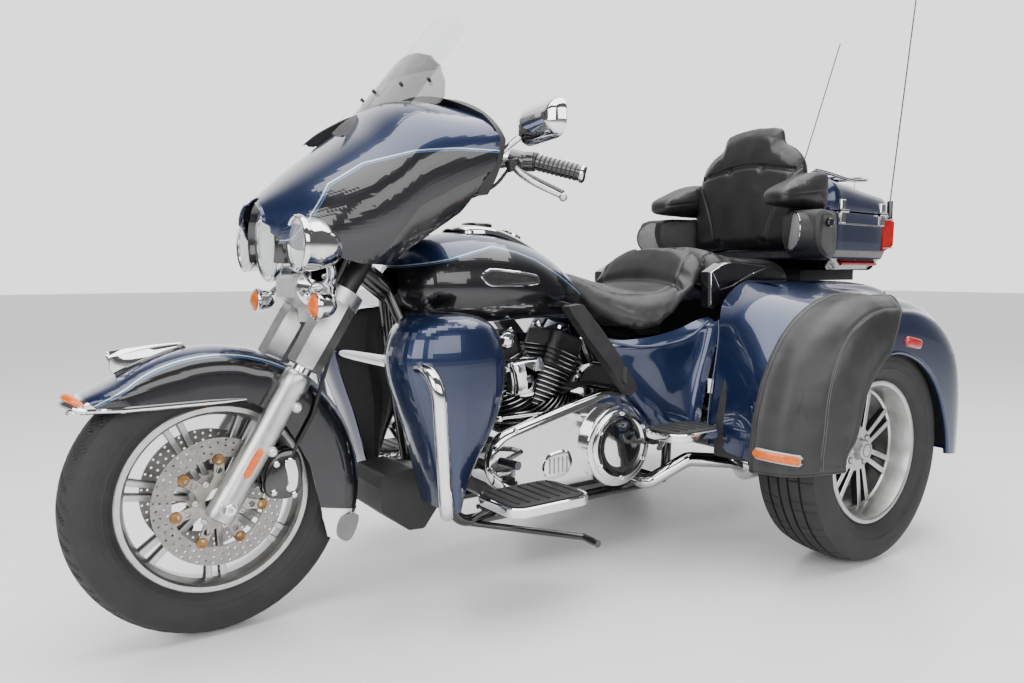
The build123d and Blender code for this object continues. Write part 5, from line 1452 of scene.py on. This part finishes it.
# Speaker pods: round grille in front, with a slim ring, and a small knob on the left one
pods = Piece("speaker_pod_shells")
pod_side = [(1742, 930), (1738, 1000), (1770, 1032), (1900, 1032), (1955, 1030), (1955, 890), (1850, 876),
            (1780, 884)]
for side in (1, -1):
    line = loop(pod_side, 4)

    def pod_place(a, b, h, side=side):
        inward = smooth(1780, 1960, a) * 70
        return at(a, side * (h - inward), b)

    pods.levels(line, [(10, 262), (0, 272), (0, 370), (4, 388), (14, 396)], black_plastic, pod_place)
    centre = at(1736, side * 312, 964)
    face = Vector((0.84, side * -0.54, 0.06)).normalized()
    pods.lathe(centre, face, [(-70, 52), (-40, 60), (-4, 63), (2, 63), (3, 60), (1, 57)], black_plastic, n=48)
    pods.lathe(centre, face, [(1, 61.5), (4, 61), (4, 58), (1, 57)], chrome, n=48)
    pods.lathe(centre, face, [(1, 57), (4, 44), (6, 26), (7, 0.1)], grey_panel, n=48)
    if side == 1:
        pods.lathe(at(1800, side * 392, 990), (0, 1, 0), [(0, 15), (9, 14), (12, 11), (12, 0.1)], black_gloss,
                   n=24)
        pods.lathe(at(1830, side * 384, 992), (0, 1, 0), [(0, 7), (8, 6.5), (10, 0.1)], black_gloss, n=16)
pods.done("chassis", "black_plastic", ["speaker_pods"], angle=35)

# Angular side bolsters under the pillion, edged with pale lines
bolster = Piece("side_bolsters")
outline = [(1402, 729), (1399, 835), (1455, 862), (1508, 870), (1700, 858), (1664, 830), (1592, 812),
           (1500, 770), (1425, 723)]
upper_edge = [(1407, 735), (1404, 832), (1456, 857), (1508, 864), (1660, 852)]
lower_edge = [(1412, 834), (1448, 780), (1500, 790), (1590, 826), (1660, 846)]
for side in (1, -1):
    bolster.levels(outline, [(4, 226), (0, 232), (0, 258), (5, 264)], black_gloss, outward(side))
    for edge, radius in ((upper_edge, 2.2), (lower_edge, 1.8)):
        bolster.pipe(on_side(side, [(a, 265, b) for a, b in edge]), radius, chrome, n=8, steps=1)
bolster.done("chassis", "black_plastic", [], angle=30)


# Engine: pushrod side, bright fin edges, horn cover and ball cap
engine = Piece("engine_bright_work")
CRANK = at(895, 0, 345)
FIN_STEP = 14
across = Vector((0, 1, 0))


def softened(value):
    """Squares off a circle's cosine or sine."""
    return abs(value) ** 0.5 * (1 if value >= 0 else -1)


for lean in (radians(22.5), radians(-22.5)):
    axis = Vector((sin(lean), 0, cos(lean)))
    along = axis.cross(across)
    foot = CRANK + axis * 0.095
    for k in range(9):
        engine.lathe(foot + axis * ((k * FIN_STEP + 5.6) / 1000), axis,
                     [(0, 76.05), (0.2, 76.5), (2.4, 76.5), (2.6, 76.05)], alloy, n=64)
    for k in range(4):
        z = (9 * FIN_STEP + 6 + k * FIN_STEP) / 1000
        ring = [foot + axis * (z + 0.0022) + across * (softened(c) * 0.0874) + along * (softened(si) * 0.0724)
                for c, si in circle(0, 0, 1, 48)]
        engine.pipe(ring, 1.5, alloy, n=6, steps=1, closed=True)
    for c in (-46, 46):
        top = foot + axis * 0.245 + along * (c / 1000) + across * 0.06
        engine.lathe(top, axis, [(-8, 8), (2, 8), (4, 6.5), (4, 0.1)], chrome, n=6)
engine.lathe(at(758, 100, 651), (0.25, 0.95, 0.1),
             [(-14, 10), (0, 15), (6, 24), (16, 27), (26, 24), (34, 15), (37, 0.1)], chrome, n=36)
engine.lathe(at(872, 96, 690), (0.1, 0.98, 0.1), [(-10, 7), (0, 10), (12, 11), (18, 8), (20, 0.1)], chrome,
             n=24)
engine.done("chassis", "aluminium", [], angle=35)

horn = Piece("horn_cover_dressed")
bell = [(758, 593), (862, 597), (858, 574), (846, 540), (832, 491), (772, 494), (768, 530), (762, 560)]
line = loop(bell, 5)
horn.levels(line, [(6, 96), (0, 100), (0, 128), (3, 140), (9, 148), (20, 153), (34, 155)], chrome, outward(1))
horn.pipe([at(806, 22, 540), at(806, 100, 540)], 12, black_satin, steps=1)
horn.lathe(at(808, 150, 545), (0, 1, 0), [(0, 12), (6, 12), (8, 9), (8, 0.1)], black_gloss, n=24)
horn.done("chassis", "chrome", ["horn_cover"], angle=35)

# Primary cover: derby ring, screws and a ribbed corner
primary = Piece("primary_details")
derby = at(1082, 223, 337)
primary.lathe(derby, (0, 1, 0), [(-9, 120), (-4, 119), (-2, 116), (-2, 105), (2, 104), (5, 99), (6, 88),
                                 (4, 84), (4, 60), (7, 40), (8, 0.1)], chrome, n=72)
for k in range(6):
    a = pi / 6 + pi / 3 * k
    spot = derby + Vector((94 * cos(a), 5, 94 * sin(a))) / 1000
    primary.lathe(spot, (0, 1, 0), [(0, 7), (3, 7), (4.5, 5), (2.5, 3.5), (2.5, 0.1)], chrome, n=20)
for s_, z in ((668, 376), (655, 318), (690, 262), (780, 247), (880, 246), (980, 262), (900, 432), (810, 414),
              (735, 414)):
    primary.lathe(at(s_, 186, z), (0, 1, 0), [(0, 8), (6, 8), (9, 6), (9, 3), (7, 2.5), (7, 0.1)], chrome,
                  n=18)
rib_box = [(820, 300), (840, 336), (905, 342), (925, 306), (900, 272), (840, 270)]
line = loop(rib_box, 4)
primary.levels(line, [(0, 190), (0, 196), (4, 200), (10, 201)], chrome, outward(1))
for k in range(5):
    primary.pipe([at(842 + k * 15, 201, 284), at(842 + k * 15, 201, 326)], 2.4, alloy_dull, n=8, steps=1)
primary.pipe([at(699, 168, 446), at(720, 166, 447), at(900, 164, 446), at(916, 162, 444)], [5, 4, 4, 5],
             chrome, n=12, steps=3)
for s_ in (699, 916):
    primary.lathe(at(s_, 160, 446), (0, 1, 0), [(-6, 8), (10, 8), (12, 6), (12, 0.1)], chrome, n=16)
primary.done("chassis", "chrome", [], angle=35)

# Tank console: chrome dash with a round chrome cap and a round black disc ahead of it
console = Piece("tank_console_trim")
rows = []
for s_, w, z in ((640, 30, 950), (660, 52, 958), (700, 60, 962), (760, 62, 957), (830, 56, 938),
                 (900, 48, 908), (980, 40, 864), (1045, 32, 822)):
    rows.append([(s_, w + 4, z - 22), (s_, w, z - 8), (s_, w * 0.7, z), (s_, 0, z + 3), (s_, -w * 0.7, z),
                 (s_, -w, z - 8), (s_, -w - 4, z - 22)])
console.surface(rows, chrome, u=4, v=4)
console.lathe(at(845, 0, 934), Vector((-0.36, 0, 0.93)), [(0, 34), (8, 34), (12, 30), (13, 20), (13, 0.1)],
              chrome, n=40)
console.lathe(at(735, 0, 962), Vector((-0.02, 0, 1)), [(-2, 44), (5, 44), (8, 40), (5, 37), (4, 0.1)],
              black_gloss, n=48)
console.done("chassis", "chrome", ["tank_console"], angle=40)

# Boards: rubber pads in a chrome edge; rows are name, front, length, hinge, outer edge, height and ribs
BOARDS = [("rider", 555, 240, 258, 440, 280, 7), ("passenger", 1075, 187, 312, 450, 392, 5)]
for word, side in (("left", 1), ("right", -1)):
    for base, front, length, hinge, outer, height, count in BOARDS:
        pad = Piece(f"{base}_board_pad_{word}")
        mid_s, mid_y = front + length / 2, (hinge + outer) / 2
        shape = rounded(2 - length / 2, length / 2 - 2, 2 - (outer - hinge) / 2, (outer - hinge) / 2 - 2, 38,
                        6)
        line = [(mid_s + a, mid_y + b) for a, b in shape]

        def flat_place(a, b, h, side=side, height=height):
            return at(a, side * b, height + h)

        pad.levels(line, [(-1, -12), (-3, -8), (-3, 8), (0, 11), (6, 11), (7, 9)], chrome, flat_place,
                   cap=False)
        line_in = [(mid_s + a * 0.93, mid_y + b * 0.91) for a, b in shape]
        pad.levels(line_in, [(0, 8), (0, 13), (3, 15)], rubber, flat_place)
        for k in range(count):
            s_ = front + length * (k + 1) / (count + 1)
            half = (outer - hinge) / 2 - 26
            pad.pipe([at(s_, side * (mid_y - half), height + 15), at(s_, side * (mid_y + half), height + 15)],
                     3.4, rubber, n=8, steps=1)
        pad.done(f"{base}_board_{word}", "black_plastic", [], angle=35)

# Mirrors, bars and levers
hands = Piece("handlebar_details")
for side in (1, -1):
    a, b = at(700, side * 317, 1102), at(778, side * 407, 1069)
    hands.lathe(a, b - a, [(-3, 22), (0, 23), (5, 23), (7, 19.6)], black_satin, n=32)
    for k in range(9):
        hands.lathe(a + (b - a) * (0.12 + k * 0.09), b - a, [(0, 19.1), (1, 20.4), (4, 20.4), (5, 19.1)],
                    rubber, n=32)
    hands.lathe(b, b - a, [(-4, 22), (2, 22), (5, 19), (6, 0.1)], chrome, n=32)
    box = at(676, side * 288, 1104)
    hands.lathe(box, b - a, [(-26, 21), (-24, 26), (14, 26), (17, 22)], black_gloss, n=24)
    hands.lathe(at(648, side * 300, 1092), (0.3, 0, 1), [(-14, 17), (12, 17), (15, 14), (15, 0.1)],
                black_satin, n=24)
    hands.pipe(on_side(side, [(662, 302, 1090), (640, 330, 1074), (652, 378, 1044), (688, 426, 1014),
                              (696, 438, 1006)]),
               [7, 7.5, 7, 6, 6], alloy, n=14)
    hands.lathe(at(694, side * 437, 1008), (-0.2, side * 0.7, -0.3),
                [(-9, 0.1), (-8, 6), (-4, 9.5), (0, 10.5), (4, 9.5), (8, 6), (9, 0.1)], alloy, n=24)
    hands.pipe(on_side(side, [(520, 200, 1085), (560, 214, 1096), (640, 262, 1108), (676, 286, 1106)]), 13.4,
               chrome, n=18)
    hands.pipe(on_side(side, [(640, 296, 1084), (610, 268, 1040), (560, 200, 1010), (500, 120, 1000)]), 4,
               black_plastic, n=10)
hands.done("fork", "aluminium", [], angle=35)

mirror_piece = Piece("mirrors_dressed")
for side in (1, -1):
    shape = rounded(-84, 84, -45, 45, 36, 7)
    line = [(side * 400 + a, 1180 + b + (a * side) * 0.06) for a, b in shape]

    def mirror_place(a, b, h):
        return at(654 + h, a, b)

    mirror_piece.levels(line, [(46, -26), (34, -24), (18, -17), (6, -6), (0, 6), (0, 12), (3, 15), (6, 13)],
                        chrome, mirror_place)
    mirror_piece.levels(line, [(6, 12), (7, 12.5)], lamp_white, mirror_place)
    mirror_piece.pipe(on_side(side, [(650, 345, 1160), (636, 330, 1146), (618, 306, 1124), (606, 296, 1112)]),
                      [8, 8, 7, 9], chrome, n=16)
    mirror_piece.lathe(at(606, side * 296, 1112), (0, 0, 1), [(-12, 13), (6, 13), (9, 10), (9, 0.1)],
                       black_plastic, n=24)
mirror_piece.done("fork", "chrome", ["mirrors"], angle=35)

screen_bits = Piece("screen_bolts")
for y, s_, z in ((0, 430, 1290), (112, 449, 1290), (-112, 449, 1290), (184, 486, 1292), (-184, 486, 1292)):
    screen_bits.lathe(at(s_, y, z), (0.77, y * 0.0016, 0.64), [(-4, 4), (5, 4.5), (7, 3.5), (7.5, 0.1)],
                      black_satin, n=16)
screen_bits.done("fork", "chrome", [], angle=35)

# Top case: rail line, hinges and latches, and lamps that wrap round its rear corners
def case_half(s_):
    """Half width of the case at a station."""
    return lerp(292, 252, (s_ - 1962) / 438)


def case_side(side):
    """Places outlines of station and height on the case's side wall."""
    return lambda a, b, h: at(a, side * (case_half(a) + h), b)


def case_outline(front, rear):
    """Plan outline of the case with rounded corners."""
    left = [(front, 0), (front, 232), (front + 8, 268), (front + 34, case_half(front) - 4),
            *((s_, case_half(s_)) for s_ in (front + 90, 2180, rear - 60)), (rear - 18, case_half(rear) - 8),
            (rear, case_half(rear) - 48), (rear, 0)]
    fine = [(q.x, q.y) for q in curve([(a, b, 0) for a, b in left], 4)]
    return fine + [(a, -b) for a, b in reversed(fine[1:-1])]


def lid_place(a, b, h):
    """On the lid's skin, which falls towards the rear."""
    return at(a, b, h - 42 * smooth(1962, 2420, a) * max(0, (h - 1046) / 115))


base_line, lid_line = case_outline(1962, 2400), case_outline(1968, 2400)
case = Piece("topcase_base_dressed")
case.levels(base_line, [(60, 840), (46, 846), (14, 884)], black_gloss, at, cap=False)
case.levels(base_line, [(14, 884), (8, 886), (1, 904), (0, 908)], grey_panel, at, cap=False)
case.levels(base_line, [(0, 908), (-1, 912), (-2, 970), (-1, 1034), (1, 1039), (7, 1040), (8, 1036), (9, 880),
                        (30, 876)],
            blue, at, cap=False)
case.add([at(a, b * 0.86, 877) for a, b in base_line], [tuple(range(len(base_line)))], black_plastic)
case.add([at(a, b * 0.8, 840) for a, b in base_line], [tuple(reversed(range(len(base_line))))], black_plastic)
case.levels([(2010, -150), (2010, 150), (2340, 150), (2340, -150)], [(0, 803), (0, 842)], black_plastic, at)
lid = Piece("topcase_lid_dressed")
lid.levels(lid_line, [(9, 1100), (8, 1050), (7, 1045), (1, 1045), (-1, 1050), (-2, 1086), (2, 1112),
                      (12, 1134), (32, 1150), (64, 1157), (110, 1160)], blue, lid_place, cap=False)
lid.levels([(2110, -70), (2110, 70), (2270, 60), (2270, -60)], [(0, 1150), (0, 1162), (8, 1164)], blue,
           lid_place)
lid.levels(lid_line, [(9, 1098), (24, 1132), (70, 1146), (110, 1148)], black_plastic, lid_place)
lid.levels(lid_line, [(108, 1149), (108, 1160), (112, 1161)], blue, lid_place)
for side in (1, -1):
    case.pipe([at(s_, side * (case_half(s_) + 2), 1000) for s_ in (2010, 2120, 2240, 2350)], 3.5, black_gloss,
              n=10, steps=2)
    case.pipe([at(s_, side * (case_half(s_) - 26), 862) for s_ in (2090, 2200, 2350)], 6, red, n=10, steps=2)
    for s_ in (2040, 2330):
        y = side * (case_half(s_) + 8)
        if side == 1:
            case.pipe([at(s_ - 8, y, 1042.5), at(s_ + 8, y, 1042.5)], 6, chrome, n=14, steps=1)
            lid.pipe([at(s_ - 24, y, 1042.5), at(s_ - 9, y, 1042.5)], 6, chrome, n=14, steps=1)
            lid.pipe([at(s_ + 9, y, 1042.5), at(s_ + 24, y, 1042.5)], 6, chrome, n=14, steps=1)
        for piece, low, high in ((case, 1000, 1037), (lid, 1049, 1082)):
            plate = [(s_ - 17, low), (s_ - 17, high), (s_ + 17, high), (s_ + 17, low)]
            piece.levels(plate, [(0, 0), (0, 5), (3, 8)], chrome, case_side(side))
case.done("chassis", "blue_paint", ["topcase_base"], angle=35)
lid.done("lid", "blue_paint", ["topcase_lid"], angle=35)

rack = Piece("luggage_rack_dressed")
rail = [(2066, 112, 1152), (2082, 130, 1196), (2150, 141, 1196), (2300, 150, 1176), (2390, 154, 1180),
        (2428, 130, 1192), (2436, 60, 1196)]
rack_path = [at(*q) for q in rail] + [at(q[0], -q[1], q[2]) for q in reversed(rail)]
rack.pipe(rack_path, 6.5, chrome, n=12, steps=4)
for s_, z in ((2130, 1196), (2190, 1191), (2250, 1184), (2310, 1176)):
    reach = lerp(132, 150, (s_ - 2085) / 215)
    rack.pipe([at(s_, -reach, z), at(s_, 0, z + 4), at(s_, reach, z)], 4.5, chrome, n=10, steps=4)
for side in (1, -1):
    rack.pipe([at(2332, side * 152, 1124), at(2332, side * 152, 1178)], 5.5, chrome, n=12, steps=1)
    rack.pipe([at(2140, side * 60, 1158), at(2142, side * 60, 1196)], 5, chrome, n=10, steps=1)
rack.pipe([at(2082, 0, 1198), at(2436, 0, 1198)], 4, chrome, n=10, steps=1)
rack.done("lid", "chrome", ["luggage_rack"], angle=35)

rear_lights = Piece("rear_lamp_trim")
for side in (1, -1):
    for z in (922, 1026):
        rear_lights.pipe(on_side(side, [(2342, 262, z), (2400, 262, z + 1), (2416, 250, z + 1),
                                        (2418, 172, z)]), 2.6,
                         chrome, n=8, steps=3)
    rear_lights.pipe([at(2416, side * 250, 924), at(2418, side * 250, 1024)], 2.2, chrome, n=8, steps=1)
rear_lights.done("chassis", "chrome", [], angle=35)


# Floor and light
FLOOR_HALF = 30
floor_mat = material("floor", (0.9, 0.9, 0.905), 0.3, 0, vary=0.02, vary_scale=3)
floor_mesh = bpy.data.meshes.new("floor")
corners = [(a * FLOOR_HALF, b * FLOOR_HALF, 0) for a, b in ((-1, -1), (1, -1), (1, 1), (-1, 1))]
floor_mesh.from_pydata(corners, [], [(0, 1, 2, 3)])
floor_mesh.materials.append(floor_mat)
add_object("floor", floor_mesh)

# The studio's far wall is bright and the side behind the camera is dim
BRIGHT_SIDE = (-0.574, -0.819, 0.0)
DIM_FROM, BRIGHT_FROM, DIM, BRIGHT = 0.2, 0.76, 0.14, 2.0
world = bpy.data.worlds.new("world")
bpy.context.scene.world = world
world.use_nodes = True
tree = world.node_tree
coordinates = tree.nodes.new("ShaderNodeTexCoord")
facing = tree.nodes.new("ShaderNodeVectorMath")
facing.operation = "DOT_PRODUCT"
facing.inputs[1].default_value = BRIGHT_SIDE
glow = tree.nodes.new("ShaderNodeMapRange")
glow.interpolation_type = "SMOOTHSTEP"
for slot, value in zip(glow.inputs[1:5], (DIM_FROM, BRIGHT_FROM, DIM, BRIGHT)):
    slot.default_value = value
background = tree.nodes["Background"]
background.inputs[0].default_value = (0.95, 0.955, 0.97, 1)
tree.links.new(coordinates.outputs["Generated"], facing.inputs[0])
tree.links.new(facing.outputs["Value"], glow.inputs[0])
tree.links.new(glow.outputs[0], background.inputs[1])
area("top", (0.2, 0.4, 4.2), (0.2, 0, 0.5), (6, 3.4), 330)
area("side", (0.8, 4.6, 2.4), (0.2, 0, 0.7), (6, 2.2), 170)
area("front", (4.6, 1.6, 2.2), (0.6, 0, 0.7), (3, 2.4), 120)
